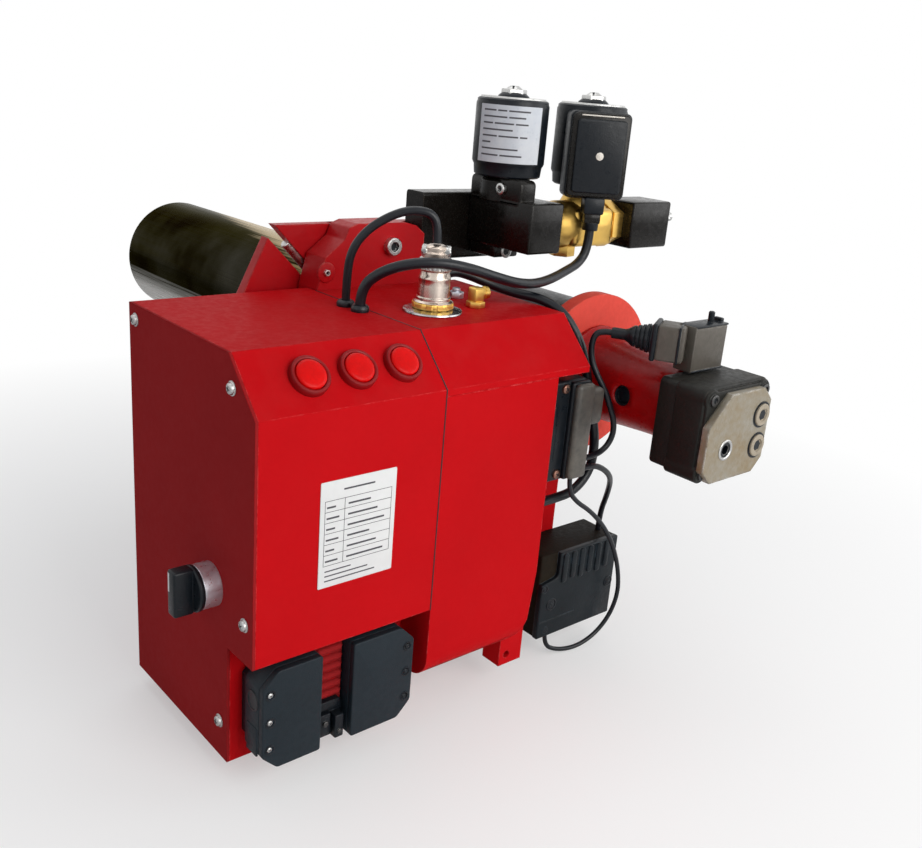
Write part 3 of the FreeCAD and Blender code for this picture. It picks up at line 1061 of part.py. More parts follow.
def build():
    for piece in (cabinet, plugs, buttons, selector, cabinet_inside, fan, housing, head_cover, collar,
                  flange, tube, combustion_head, intake, pump_unit, pump_valve, gas_train, fittings,
                  terminal_box, screws_and_bolts, cords):
        piece()
    doc.recompute()
    failed = [f"{thing.Name} under {[user.Label for user in thing.InList]}" for thing in doc.Objects
              if {"Invalid", "Error"} & set(thing.State)]
    failed += [solid.Label for solid in nodes if solid.Shape.isNull() or not solid.Shape.isValid()]
    if failed:
        raise RuntimeError("no valid shape: " + ", ".join(failed))


def export():
    os.makedirs("parts", exist_ok=True)
    for solid in nodes:
        solid.Shape.exportStep(f"parts/{solid.Label}.step")
    print(len(nodes), "nodes written")


build()
export()
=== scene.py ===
import math

import bmesh
import bpy
from mathutils import Matrix, Vector


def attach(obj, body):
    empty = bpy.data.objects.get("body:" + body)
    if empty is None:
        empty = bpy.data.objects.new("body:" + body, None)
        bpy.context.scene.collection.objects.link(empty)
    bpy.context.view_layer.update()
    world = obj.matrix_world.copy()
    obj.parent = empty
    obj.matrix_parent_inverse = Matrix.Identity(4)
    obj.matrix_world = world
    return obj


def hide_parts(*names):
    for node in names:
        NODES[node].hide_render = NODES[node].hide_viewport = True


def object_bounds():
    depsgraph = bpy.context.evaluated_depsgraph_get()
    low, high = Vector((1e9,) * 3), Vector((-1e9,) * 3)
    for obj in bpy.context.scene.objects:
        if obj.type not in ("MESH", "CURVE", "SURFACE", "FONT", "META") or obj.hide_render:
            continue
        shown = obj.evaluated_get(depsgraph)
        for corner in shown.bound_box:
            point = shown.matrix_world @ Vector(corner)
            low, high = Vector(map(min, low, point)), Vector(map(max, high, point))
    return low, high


bl_info = {
    "name": "Dual fuel burner",
    "version": (1, 0, 0),
    "blender": (4, 5, 0),
    "location": "View3D > Sidebar > Burner",
    "description": "Dresses the packed burner with finishes, cords, fittings and a studio",
    "category": "Object",
}

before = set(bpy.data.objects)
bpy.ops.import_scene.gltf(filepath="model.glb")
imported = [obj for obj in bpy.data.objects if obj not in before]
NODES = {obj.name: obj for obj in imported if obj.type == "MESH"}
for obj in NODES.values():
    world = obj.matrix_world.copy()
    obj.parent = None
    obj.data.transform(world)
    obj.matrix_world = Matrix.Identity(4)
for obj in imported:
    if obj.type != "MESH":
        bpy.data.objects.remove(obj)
CAD_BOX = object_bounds()
CASING = "casing"
MM_IN_M = 1000
X, Y, Z = Vector((1, 0, 0)), Vector((0, 1, 0)), Vector((0, 0, 1))


# Sizes and colours that a user would change

def length(name, text, millimetres):
    return bpy.props.FloatProperty(name=name, description=text, default=millimetres / MM_IN_M, unit="LENGTH")


def colour(name, text, value):
    return bpy.props.FloatVectorProperty(name=name, description=text, default=value, size=3,
                                         min=0, max=1, subtype="COLOR")


class BurnerSizes(bpy.types.PropertyGroup):
    screw_head: length("Screw head", "Radius of a case screw's head", 4.0)
    label_width: length("Label width", "Width of the blank rating plate", 61)
    label_height: length("Label height", "Height of the blank rating plate", 77)
    louvre_pitch: length("Louvre pitch", "Distance between the pressed louvres in the recess", 7.2)
    camera_lens: length("Camera lens", "Focal length on a 36 mm sensor", 39.05)


class BurnerColours(bpy.types.PropertyGroup):
    red: colour("Powder coat", "Red of the cabinet and fan housing", (0.50, 0.005, 0.008))
    # Painted shade: the side panel's red is the cabinet red darkened for the side that faces away from the
    # lamps
    shaded_side_red: colour("Side panel", "Darker red of the cabinet's side", (0.30, 0.016, 0.018))
    cast_red: colour("Painted castings", "Red of the collar, flange and bracket", (0.46, 0.004, 0.008))
    # Painted light: the bracket's red is lightened to stand for its sunlit face
    bracket_lit_red: colour("Bracket", "Lighter red of the pump bracket", (0.82, 0.085, 0.060))
    bell_red: colour("Bell", "Dark red of the pump bell", (0.40, 0.003, 0.004))
    lens_red: colour("Lens", "Red of the button lenses", (0.74, 0.001, 0.001))
    bezel_red: colour("Button collar", "Dark red of the button collars", (0.26, 0.003, 0.005))
    plug: colour("Plug plastic", "Blue-grey of the plugs and the servo", (0.011, 0.019, 0.026))
    black: colour("Black plastic", "Black of coils and terminal box", (0.006, 0.009, 0.013))
    gloss_black: colour("Black enamel", "Gloss black of the valve blocks", (0.006, 0.005, 0.004))
    pump: colour("Pump casting", "Brown-black of the oil pump", (0.015, 0.0155, 0.0135))
    pump_lid: colour("Pump cover", "Grey-brown of the pump's cover", (0.23, 0.195, 0.145))
    plug_box: colour("Plug box", "Grey-brown of the valve's plug", (0.11, 0.098, 0.082))
    rubber: colour("Cord rubber", "Black of the cords", (0.004, 0.006, 0.010))
    brass: colour("Brass", "Golden brass", (0.78, 0.50, 0.13))
    zinc: colour("Zinc", "Plated steel", (0.58, 0.58, 0.57))
    tube: colour("Blast tube", "Bare steel of the tube", (0.62, 0.61, 0.58))
    # The next two colours are painted reflections on the tube: dark on top and golden along its shoulder
    tube_dark_top_reflection: colour("Tube soot", "Painted dark reflection on top of the tube", (0.016, 0.015, 0.012))
    tube_golden_band_reflection: colour("Tube straw", "Painted golden reflection along the tube", (0.46, 0.32, 0.12))
    paper: colour("Plate", "White of the plates", (0.74, 0.75, 0.75))
    ink: colour("Ink", "Dark grey of the ruled lines", (0.09, 0.09, 0.10))


def sizes():
    return bpy.context.scene.burner_sizes


def colours():
    return bpy.context.scene.burner_colours


# Shader node groups

def group_tree(name, inputs, outputs):
    """A shader node group with named sockets, and its two end nodes."""
    tree = bpy.data.node_groups.new(name, "ShaderNodeTree")
    for socket, (kind, value) in inputs.items():
        made = tree.interface.new_socket(socket, in_out="INPUT", socket_type=kind)
        if value is not None:
            made.default_value = value
    for socket, kind in outputs.items():
        tree.interface.new_socket(socket, in_out="OUTPUT", socket_type=kind)
    return tree, tree.nodes.new("NodeGroupInput"), tree.nodes.new("NodeGroupOutput")


def link(tree, source, target):
    tree.links.new(source, target)


def maths(tree, operation, first, second=None, clamp=False):
    """A math node fed by sockets or numbers. Returns its output."""
    item = tree.nodes.new("ShaderNodeMath")
    item.operation = operation
    item.use_clamp = clamp
    for socket, value in zip(item.inputs, (first, second)):
        if value is None:
            continue
        if isinstance(value, (int, float)):
            socket.default_value = value
        else:
            link(tree, value, socket)
    return item.outputs[0]


def noise(tree, vector, scale, detail=4.0, rough=0.55):
    item = tree.nodes.new("ShaderNodeTexNoise")
    item.inputs["Detail"].default_value = detail
    item.inputs["Roughness"].default_value = rough
    link(tree, vector, item.inputs["Vector"])
    if isinstance(scale, (int, float)):
        item.inputs["Scale"].default_value = scale
    else:
        link(tree, scale, item.inputs["Scale"])
    return item.outputs["Fac"]


def spread(tree, value, low, high, out_low=0.0, out_high=1.0):
    """Stretches a range of a value to another range, clamped."""
    item = tree.nodes.new("ShaderNodeMapRange")
    limits = {"From Min": low, "From Max": high, "To Min": out_low, "To Max": out_high}
    for socket, number in limits.items():
        item.inputs[socket].default_value = number
    link(tree, value, item.inputs["Value"])
    return item.outputs["Result"]


def mixed(tree, factor, first, second, blend="MIX"):
    item = tree.nodes.new("ShaderNodeMix")
    item.data_type = "RGBA"
    item.blend_type = blend
    ends = [socket for socket in item.inputs if socket.type == "RGBA"]
    for socket, value in zip([item.inputs["Factor"], *ends], (factor, first, second)):
        if isinstance(value, bpy.types.NodeSocket):
            link(tree, value, socket)
        elif isinstance(value, (int, float)):
            socket.default_value = value
        else:
            socket.default_value = (*value[:3], 1)
    return next(socket for socket in item.outputs if socket.type == "RGBA")


def here(tree):
    return tree.nodes.new("ShaderNodeTexCoord").outputs["Object"]


def edge_wear_and_highlight_group():
    """Mask of edges, broken up by noise, that finishes colour as rubbed wear and as painted edge highlight,
    and the rounded normal that goes with it.
    """
    tree, start, end = group_tree(
        "edge_wear_and_highlight", {"Radius": ("NodeSocketFloat", 0.001), "Break up": ("NodeSocketFloat", 90.0)},
        {"Mask": "NodeSocketFloat", "Normal": "NodeSocketVector"})
    rounding = tree.nodes.new("ShaderNodeBevel")
    rounding.samples = 4
    link(tree, start.outputs["Radius"], rounding.inputs["Radius"])
    geometry = tree.nodes.new("ShaderNodeNewGeometry")
    facing = tree.nodes.new("ShaderNodeVectorMath")
    facing.operation = "DOT_PRODUCT"
    link(tree, rounding.outputs["Normal"], facing.inputs[0])
    link(tree, geometry.outputs["Normal"], facing.inputs[1])
    edge = maths(tree, "SUBTRACT", 1.0, facing.outputs["Value"], clamp=True)
    patches = noise(tree, here(tree), start.outputs["Break up"], 5.0, 0.7)
    worn_and_highlit = maths(tree, "MULTIPLY", spread(tree, edge, 0.03, 0.22), spread(tree, patches, 0.47, 0.62))
    link(tree, worn_and_highlit, end.inputs["Mask"])
    link(tree, rounding.outputs["Normal"], end.inputs["Normal"])
    return tree


def tone_group():
    """Uneven colour and roughness: broad cloudy patches and fine mottling."""
    tree, start, end = group_tree(
        "tone", {"Colour": ("NodeSocketColor", None), "Other colour": ("NodeSocketColor", None),
                 "Patch scale": ("NodeSocketFloat", 14.0), "Fine scale": ("NodeSocketFloat", 220.0)},
        {"Colour": "NodeSocketColor", "Patches": "NodeSocketFloat", "Mottle": "NodeSocketFloat"})
    broad = spread(tree, noise(tree, here(tree), start.outputs["Patch scale"], 3.0), 0.35, 0.68)
    fine = spread(tree, noise(tree, here(tree), start.outputs["Fine scale"], 5.0), 0.35, 0.65)
    both = maths(tree, "ADD", maths(tree, "MULTIPLY", broad, 0.7), maths(tree, "MULTIPLY", fine, 0.3))
    blended = mixed(tree, both, start.outputs["Colour"], start.outputs["Other colour"])
    link(tree, blended, end.inputs["Colour"])
    link(tree, broad, end.inputs["Patches"])
    link(tree, fine, end.inputs["Mottle"])
    return tree


def grain_group():
    """Height of a finish: orange peel of powder coat, cast skin or moulded plastic by its scales."""
    tree, start, end = group_tree(
        "grain", {"Coarse scale": ("NodeSocketFloat", 500.0), "Fine scale": ("NodeSocketFloat", 1600.0),
                  "Fine share": ("NodeSocketFloat", 0.35)},
        {"Height": "NodeSocketFloat"})
    coarse = noise(tree, here(tree), start.outputs["Coarse scale"], 2.0, 0.5)
    fine = noise(tree, here(tree), start.outputs["Fine scale"], 3.0, 0.6)
    part = maths(tree, "MULTIPLY", fine, start.outputs["Fine share"])
    link(tree, maths(tree, "ADD", coarse, part), end.inputs["Height"])
    return tree


def dust_group():
    """Mask of dust that settles on faces that look up, and a little in patches on every face."""
    tree, start, end = group_tree("dust", {"Amount": ("NodeSocketFloat", 0.5)}, {"Mask": "NodeSocketFloat"})
    normal = tree.nodes.new("ShaderNodeSeparateXYZ")
    link(tree, tree.nodes.new("ShaderNodeNewGeometry").outputs["Normal"], normal.inputs[0])
    upward = spread(tree, normal.outputs["Z"], 0.35, 1.0)
    patches = spread(tree, noise(tree, here(tree), 38.0, 6.0, 0.65), 0.42, 0.72)
    settled = maths(tree, "MULTIPLY", maths(tree, "ADD", upward, 0.12), patches)
    link(tree, maths(tree, "MULTIPLY", settled, start.outputs["Amount"], clamp=True), end.inputs["Mask"])
    return tree


def brushed_group():
    """Streaks along one direction: the stretch squeezes the noise across the other two."""
    tree, start, end = group_tree(
        "brushed", {"Stretch": ("NodeSocketVector", (900.0, 12.0, 900.0))},
        {"Streaks": "NodeSocketFloat", "Smears": "NodeSocketFloat"})
    stretch = tree.nodes.new("ShaderNodeVectorMath")
    stretch.operation = "MULTIPLY"
    link(tree, here(tree), stretch.inputs[0])
    link(tree, start.outputs["Stretch"], stretch.inputs[1])
    link(tree, noise(tree, stretch.outputs[0], 1.0, 3.0, 0.6), end.inputs["Streaks"])
    link(tree, spread(tree, noise(tree, here(tree), 11.0, 4.0), 0.38, 0.66), end.inputs["Smears"])
    return tree


GROUP_MAKERS = {"edge_wear_and_highlight": edge_wear_and_highlight_group, "tone": tone_group, "grain": grain_group,
                "dust": dust_group, "brushed": brushed_group}


# Finishes, with the depth of their relief and the radius of their worn and highlit edges in metres

MATERIALS = {}
COAT_DEPTH, STREAK_DEPTH, LENS_DEPTH = 0.0004, 0.0002, 0.0003
METAL_WEAR = 0.0006
GREY_DUST, BROWN_DUST = (0.06, 0.055, 0.05), (0.09, 0.07, 0.05)


def set_inputs(item, **values):
    """Sets a node's sockets, named with _ for their spaces."""
    for socket, value in values.items():
        item.inputs[socket.replace("_", " ")].default_value = value


def use_group(tree, name, **values):
    """Places a shared node group in a material and sets its inputs."""
    source = bpy.data.node_groups.get(name) or GROUP_MAKERS[name]()
    item = tree.nodes.new("ShaderNodeGroup")
    item.node_tree = source
    set_inputs(item, **values)
    return item.outputs


def bare_material(name):
    """Keeps a new material under its name. Returns its node tree and its shader."""
    made = bpy.data.materials.new(name)
    made.use_nodes = True
    MATERIALS[name] = made
    return made.node_tree, made.node_tree.nodes["Principled BSDF"]


def bump(tree, shader, height, strength, distance, normal=None):
    item = tree.nodes.new("ShaderNodeBump")
    set_inputs(item, Strength=strength, Distance=distance)
    link(tree, height, item.inputs["Height"])
    if normal is not None:
        link(tree, normal, item.inputs["Normal"])
    link(tree, item.outputs[0], shader.inputs["Normal"])


def darker(value, share):
    return tuple(channel * share for channel in value)


def coated(name, main, other, worn_and_highlit, rough, coat=0.0, grain=500.0, height=0.3, wear=0.001, dust=0.1,
           dust_colour=(0.30, 0.16, 0.14), gloss=0.25, metallic=0.0):
    """Paint, enamel, casting or moulded plastic: grain, cloudy tone, edges that are partly rubbed wear and
    partly painted edge highlight, and dust.
    """
    tree, shader = bare_material(name)
    tone = use_group(tree, "tone", Colour=(*main, 1), Other_colour=(*other, 1))
    edges = use_group(tree, "edge_wear_and_highlight", Radius=wear)
    settled = use_group(tree, "dust", Amount=dust)
    # Edge colour: partly rubbed wear, partly painted edge highlight
    rubbed = mixed(tree, edges["Mask"], tone["Colour"], worn_and_highlit)
    link(tree, mixed(tree, settled["Mask"], rubbed, dust_colour), shader.inputs["Base Color"])
    uneven = spread(tree, tone["Mottle"], 0.0, 1.0, rough - 0.05, rough + 0.08)
    dusty = maths(tree, "ADD", uneven, maths(tree, "MULTIPLY", settled["Mask"], 0.5), clamp=True)
    link(tree, dusty, shader.inputs["Roughness"])
    skin = use_group(tree, "grain", Coarse_scale=grain, Fine_scale=grain * 3)
    bump(tree, shader, skin["Height"], height, COAT_DEPTH, edges["Normal"])
    set_inputs(shader, Specular_IOR_Level=gloss, Coat_Weight=coat, Coat_Roughness=0.18, Metallic=metallic)


def metal(name, main, other, rough, stretch, streak_height, tarnish=(0.2, 0.16, 0.1), dust=0.15):
    """Bare or plated metal with streaks, smears and dull patches."""
    tree, shader = bare_material(name)
    streaks = use_group(tree, "brushed", Stretch=stretch)
    edges = use_group(tree, "edge_wear_and_highlight", Radius=METAL_WEAR)
    settled = use_group(tree, "dust", Amount=dust)
    smeared = mixed(tree, streaks["Smears"], main, other)
    dulled = mixed(tree, settled["Mask"], smeared, tarnish)
    bright = tuple(min(1.0, channel * 1.35) for channel in main)
    link(tree, mixed(tree, edges["Mask"], dulled, bright), shader.inputs["Base Color"])
    base = spread(tree, streaks["Streaks"], 0.3, 0.7, rough - 0.06, rough + 0.1)
    dusty = maths(tree, "ADD", base, maths(tree, "MULTIPLY", settled["Mask"], 0.4), clamp=True)
    link(tree, dusty, shader.inputs["Roughness"])
    set_inputs(shader, Metallic=1.0)
    bump(tree, shader, streaks["Streaks"], streak_height, STREAK_DEPTH, edges["Normal"])


def make_materials():
    """Every finish of the burner, from the colours in the panel."""
    make_paints()
    make_plastics()
    make_plates()
    make_metals()
    make_tube_steel()
    make_lens()


def make_paints():
    paint = colours()
    # Light red edge colours: painted edge highlights along the rims of the red paints
    red_edge_highlight, cast_edge_highlight = (0.80, 0.13, 0.13), (0.70, 0.13, 0.11)
    coated("red_powder_coat", paint.red, darker(paint.red, 0.92), red_edge_highlight, 0.46, grain=620, height=0.18,
           wear=0.0014, dust=0.05, gloss=0.02)
    # Painted shade: a darkened copy of the cabinet red for the side panel and the recess louvres; its edges
    # in the full red are a painted edge highlight
    coated("side_panel_painted_shade", paint.shaded_side_red, darker(paint.shaded_side_red, 0.9), paint.red, 0.55, grain=620,
           height=0.15, wear=0.0012, dust=0.06, dust_colour=(0.05, 0.02, 0.015), gloss=0.01)
    coated("cast_paint", paint.cast_red, darker(paint.cast_red, 0.8), cast_edge_highlight, 0.36, coat=0.05, grain=260,
           height=0.4, wear=0.0018, gloss=0.16)
    # Painted light: the bracket's lighter red stands for its sunlit face, with lighter painted edge
    # highlights
    coated("bracket_lit_paint", paint.bracket_lit_red, darker(paint.bracket_lit_red, 0.8), (0.7, 0.2, 0.15), 0.5,
           grain=200, height=0.6, wear=0.0018, gloss=0.1)
    coated("bell_paint", paint.bell_red, darker(paint.bell_red, 0.7), cast_edge_highlight, 0.30, coat=0.08, grain=220,
           wear=0.0015, dust=0.05, gloss=0.16)
    coated("bezel_red", paint.bezel_red, darker(paint.bezel_red, 0.8), paint.bezel_red, 0.32, height=0.1,
           wear=0.0006, dust=0.03, gloss=0.2)
    coated("black_enamel", paint.gloss_black, darker(paint.gloss_black, 0.7), (0.09, 0.08, 0.06), 0.24,
           coat=0.05, grain=180, height=0.25, wear=0.0012, dust=0.06, dust_colour=BROWN_DUST, gloss=0.22)


def make_plastics():
    paint = colours()
    # The lighter edge colours of the plastics are partly rubbed wear and partly painted edge highlight
    coated("plug_plastic", paint.plug, darker(paint.plug, 0.72), darker(paint.plug, 2.6), 0.42, grain=900,
           height=0.4, wear=0.0008, dust=0.12, dust_colour=GREY_DUST, gloss=0.2)
    coated("servo_plastic", darker(paint.plug, 0.6), darker(paint.plug, 0.3), darker(paint.plug, 5), 0.34,
           grain=700, height=0.4, wear=0.0011, dust=0.15, dust_colour=GREY_DUST, gloss=0.2)
    coated("servo_top", (0.007, 0.006, 0.005), (0.020, 0.015, 0.010), (0.08, 0.07, 0.05), 0.5, grain=420,
           height=0.6, dust_colour=BROWN_DUST, gloss=0.04)
    coated("black_plastic", paint.black, darker(paint.black, 0.6), darker(paint.black, 5), 0.32, grain=800,
           height=0.25, wear=0.0008, dust=0.08, dust_colour=GREY_DUST, gloss=0.24)
    coated("black_rubber", paint.rubber, darker(paint.rubber, 0.7), (0.02, 0.02, 0.025), 0.33, grain=700,
           height=0.12, wear=0.0006, dust=0.06, dust_colour=GREY_DUST, gloss=0.35)
    coated("plug_box_plastic", paint.plug_box, darker(paint.plug_box, 0.6), (0.26, 0.24, 0.2), 0.4, grain=800,
           wear=0.0008, dust=0.15, dust_colour=(0.16, 0.14, 0.11), gloss=0.3)
    # Painted highlight: the lid's grey-brown stands for light on black plastic, mottled with dark patches
    coated("lid_painted_highlight", (0.13, 0.118, 0.098), (0.030, 0.030, 0.032), (0.26, 0.22, 0.16), 0.34, grain=600,
           wear=0.0014, dust=0.2, dust_colour=(0.14, 0.12, 0.09), gloss=0.35)
    coated("ceramic", (0.75, 0.72, 0.66), (0.62, 0.58, 0.50), (0.8, 0.78, 0.74), 0.3, coat=0.3, grain=300,
           height=0.1, wear=0.0005)


def make_plates():
    paint = colours()
    coated("label_silver", (0.50, 0.54, 0.60), (0.62, 0.64, 0.66), (0.4, 0.4, 0.4), 0.32, coat=0.1, grain=300,
           height=0.05, wear=0.0003, dust=0.05, dust_colour=(0.4, 0.38, 0.36), gloss=0.5)
    coated("plate_white", paint.paper, darker(paint.paper, 0.93), darker(paint.paper, 0.8), 0.4, grain=300,
           height=0.05, wear=0.0003, dust=0.05, dust_colour=(0.5, 0.48, 0.45))
    coated("ruled_ink", paint.ink, darker(paint.ink, 0.7), paint.ink, 0.5, height=0.1, wear=0.0002, dust=0.0)


def make_metals():
    """Castings, plated and bare metal. The selector's satin collar is a coating with a metallic body."""
    paint = colours()
    coated("pump_cast", paint.pump, darker(paint.pump, 0.4), (0.08, 0.065, 0.05), 0.45, grain=330, height=0.8,
           dust=0.12, dust_colour=BROWN_DUST, gloss=0.2)
    coated("pump_cover_cast", (0.26, 0.25, 0.215), (0.20, 0.135, 0.05), (0.70, 0.68, 0.64), 0.38, grain=260,
           height=0.9, wear=0.0026, dust=0.45, dust_colour=(0.40, 0.40, 0.39), gloss=0.45)
    coated("port_plug_grey", darker(paint.pump_lid, 1.5), darker(paint.pump_lid, 1.1), (0.45, 0.42, 0.38),
           0.4, wear=0.0008, dust_colour=(0.22, 0.19, 0.15), gloss=0.4)
    coated("satin_chrome", (0.80, 0.83, 0.90), (0.55, 0.58, 0.64), (0.90, 0.92, 0.95), 0.32, coat=0.2,
           grain=300, height=0.0, wear=0.0008, dust=0.0, dust_colour=GREY_DUST, gloss=0.6, metallic=0.85)
    even = (300.0, 300.0, 300.0)
    metal("zinc_plated", paint.zinc, darker(paint.zinc, 0.72), 0.28, even, 0.06, (0.20, 0.17, 0.13))
    metal("black_oxide", (0.10, 0.10, 0.10), (0.05, 0.05, 0.05), 0.32, even, 0.06)
    # Reddish brown steel of the terminal box screws and the slit bolt
    metal("reddish_brown_steel", (0.30, 0.16, 0.12), (0.16, 0.09, 0.07), 0.35, even, 0.06)
    metal("bright_zinc", (0.42, 0.42, 0.43), (0.30, 0.30, 0.31), 0.2, even, 0.03)
    metal("warm_nickel", (0.66, 0.57, 0.50), (0.46, 0.37, 0.30), 0.24, (60.0, 60.0, 60.0), 0.0,
          (0.25, 0.20, 0.14), 0.05)
    metal("brass", paint.brass, darker(paint.brass, 0.85), 0.36, (260.0, 260.0, 260.0), 0.02,
          (0.45, 0.27, 0.08), 0.1)
    metal("coil_frame_steel", (0.62, 0.62, 0.61), (0.48, 0.48, 0.47), 0.3, (500.0, 500.0, 30.0), 0.06)


# The tube's zones in metres, painted reflections: a dark painted reflection lies above one height, and a
# golden painted reflection beyond a slanted line

DARK_TOP_REFLECTION_FROM, DARK_TOP_REFLECTION_FULL = -0.028, -0.008
GOLDEN_BAND_REFLECTION_FROM, GOLDEN_BAND_REFLECTION_FULL, GOLDEN_BAND_REFLECTION_LEAN = -0.044, -0.030, 0.19
GOLDEN_BAND_REFLECTION_ENDS, GOLDEN_BAND_REFLECTION_WHOLE = 0.30, 0.20
STREAK_DRIFT = 0.035


def make_tube_steel():
    """Burnished tube with painted reflections: painted dark on top, a golden painted reflection along its
    shoulder, and grey below.
    """
    paint = colours()
    tree, shader = bare_material("tube_steel")
    place = tree.nodes.new("ShaderNodeSeparateXYZ")
    link(tree, here(tree), place.inputs[0])
    streaks = use_group(tree, "brushed", Stretch=(420.0, 5.0, 420.0))
    drift = maths(tree, "MULTIPLY", maths(tree, "SUBTRACT", streaks["Streaks"], 0.5), STREAK_DRIFT)
    height = maths(tree, "ADD", place.outputs["Z"], drift)
    across = maths(tree, "ADD", place.outputs["X"], drift)
    dark_top_reflection = spread(tree, height, DARK_TOP_REFLECTION_FROM, DARK_TOP_REFLECTION_FULL)
    leaning = maths(tree, "SUBTRACT", across, maths(tree, "MULTIPLY", place.outputs["Y"], GOLDEN_BAND_REFLECTION_LEAN))
    golden_band_reflection = maths(tree, "MULTIPLY", spread(tree, leaning, GOLDEN_BAND_REFLECTION_FROM, GOLDEN_BAND_REFLECTION_FULL),
                  spread(tree, place.outputs["Y"], GOLDEN_BAND_REFLECTION_ENDS, GOLDEN_BAND_REFLECTION_WHOLE))
    upper = mixed(tree, golden_band_reflection, paint.tube_dark_top_reflection, paint.tube_golden_band_reflection)
    base = mixed(tree, dark_top_reflection, paint.tube, upper)
    rubbed = mixed(tree, maths(tree, "MULTIPLY", streaks["Smears"], 0.10), base, darker(paint.tube, 0.5))
    edges = use_group(tree, "edge_wear_and_highlight", Radius=0.0008)
    link(tree, mixed(tree, edges["Mask"], rubbed, (0.55, 0.53, 0.48)), shader.inputs["Base Color"])
    link(tree, spread(tree, streaks["Streaks"], 0.3, 0.7, 0.20, 0.34), shader.inputs["Roughness"])
    # Metallic and specular tint follow the painted reflection zones, so the golden band reads as a painted
    # reflection
    painted_reflection_metallic = maths(tree, "MULTIPLY", spread(tree, golden_band_reflection, 0.0, 1.0, 1.0, 0.3),
                  spread(tree, dark_top_reflection, 0.0, 1.0, 0.5, 1.0))
    link(tree, painted_reflection_metallic, shader.inputs["Metallic"])
    painted_reflection_tint = mixed(tree, dark_top_reflection, (0.80, 0.78, 0.74), mixed(tree, golden_band_reflection, (0.42, 0.41, 0.36), (1.0, 0.92, 0.74)))
    link(tree, painted_reflection_tint, shader.inputs["Specular Tint"])
    bump(tree, shader, streaks["Streaks"], 0.03, STREAK_DEPTH, edges["Normal"])


def make_lens():
    """Translucent red lens: saturated body under a clear gloss, with a fine grain."""
    paint = colours()
    tree, shader = bare_material("lens_red")
    tone = use_group(tree, "tone", Colour=(*paint.lens_red, 1), Patch_scale=60.0, Fine_scale=500.0,
                     Other_colour=(*darker(paint.lens_red, 0.75), 1))
    link(tree, tone["Colour"], shader.inputs["Base Color"])
    skin = use_group(tree, "grain", Coarse_scale=400.0, Fine_scale=1200.0)
    bump(tree, shader, skin["Height"], 0.12, LENS_DEPTH)
    set_inputs(shader, Roughness=0.34, Specular_IOR_Level=0.12, Coat_Weight=0.03, Coat_Roughness=0.2,
               Subsurface_Weight=0.15, Subsurface_Radius=(0.004, 0.0008, 0.0006))


# Mesh tools, in millimetres

SIDEWAYS = Matrix(((0, 0, 1, 0), (1, 0, 0, 0), (0, 1, 0, 0), (0, 0, 0, 1)))
FRONTWAYS = Matrix(((1, 0, 0, 0), (0, 0, -1, 0), (0, 1, 0, 0), (0, 0, 0, 1)))
LEVEL_MATCH = 1e-4
MERGE_WITHIN = 1e-3
# Black finish for slots and socket floors: painted shade inside the recess
RECESS_SHADE = "black_plastic"


def aim(spot, direction, roll=0.0):
    """A matrix that puts a shape's origin at a spot and its Z along a direction."""
    turn = Vector(direction).normalized().to_track_quat("Z", "Y").to_matrix().to_4x4()
    return Matrix.Translation(Vector(spot)) @ turn @ Matrix.Rotation(roll, 4, "Z")


def upright(spot, turn):
    """A matrix that stands a shape on a spot, turned about Z."""
    return Matrix.Translation(Vector(spot)) @ Matrix.Rotation(turn, 4, "Z")


def rectangle(left, right, low, high):
    return [(left, low), (right, low), (right, high), (left, high)]


def round_edges(part, edges, radius, segments):
    if radius > 0:
        bmesh.ops.bevel(part, geom=list(edges), offset=radius, offset_type="OFFSET", segments=segments,
                        profile=0.5, affect="EDGES", material=-1, clamp_overlap=True)


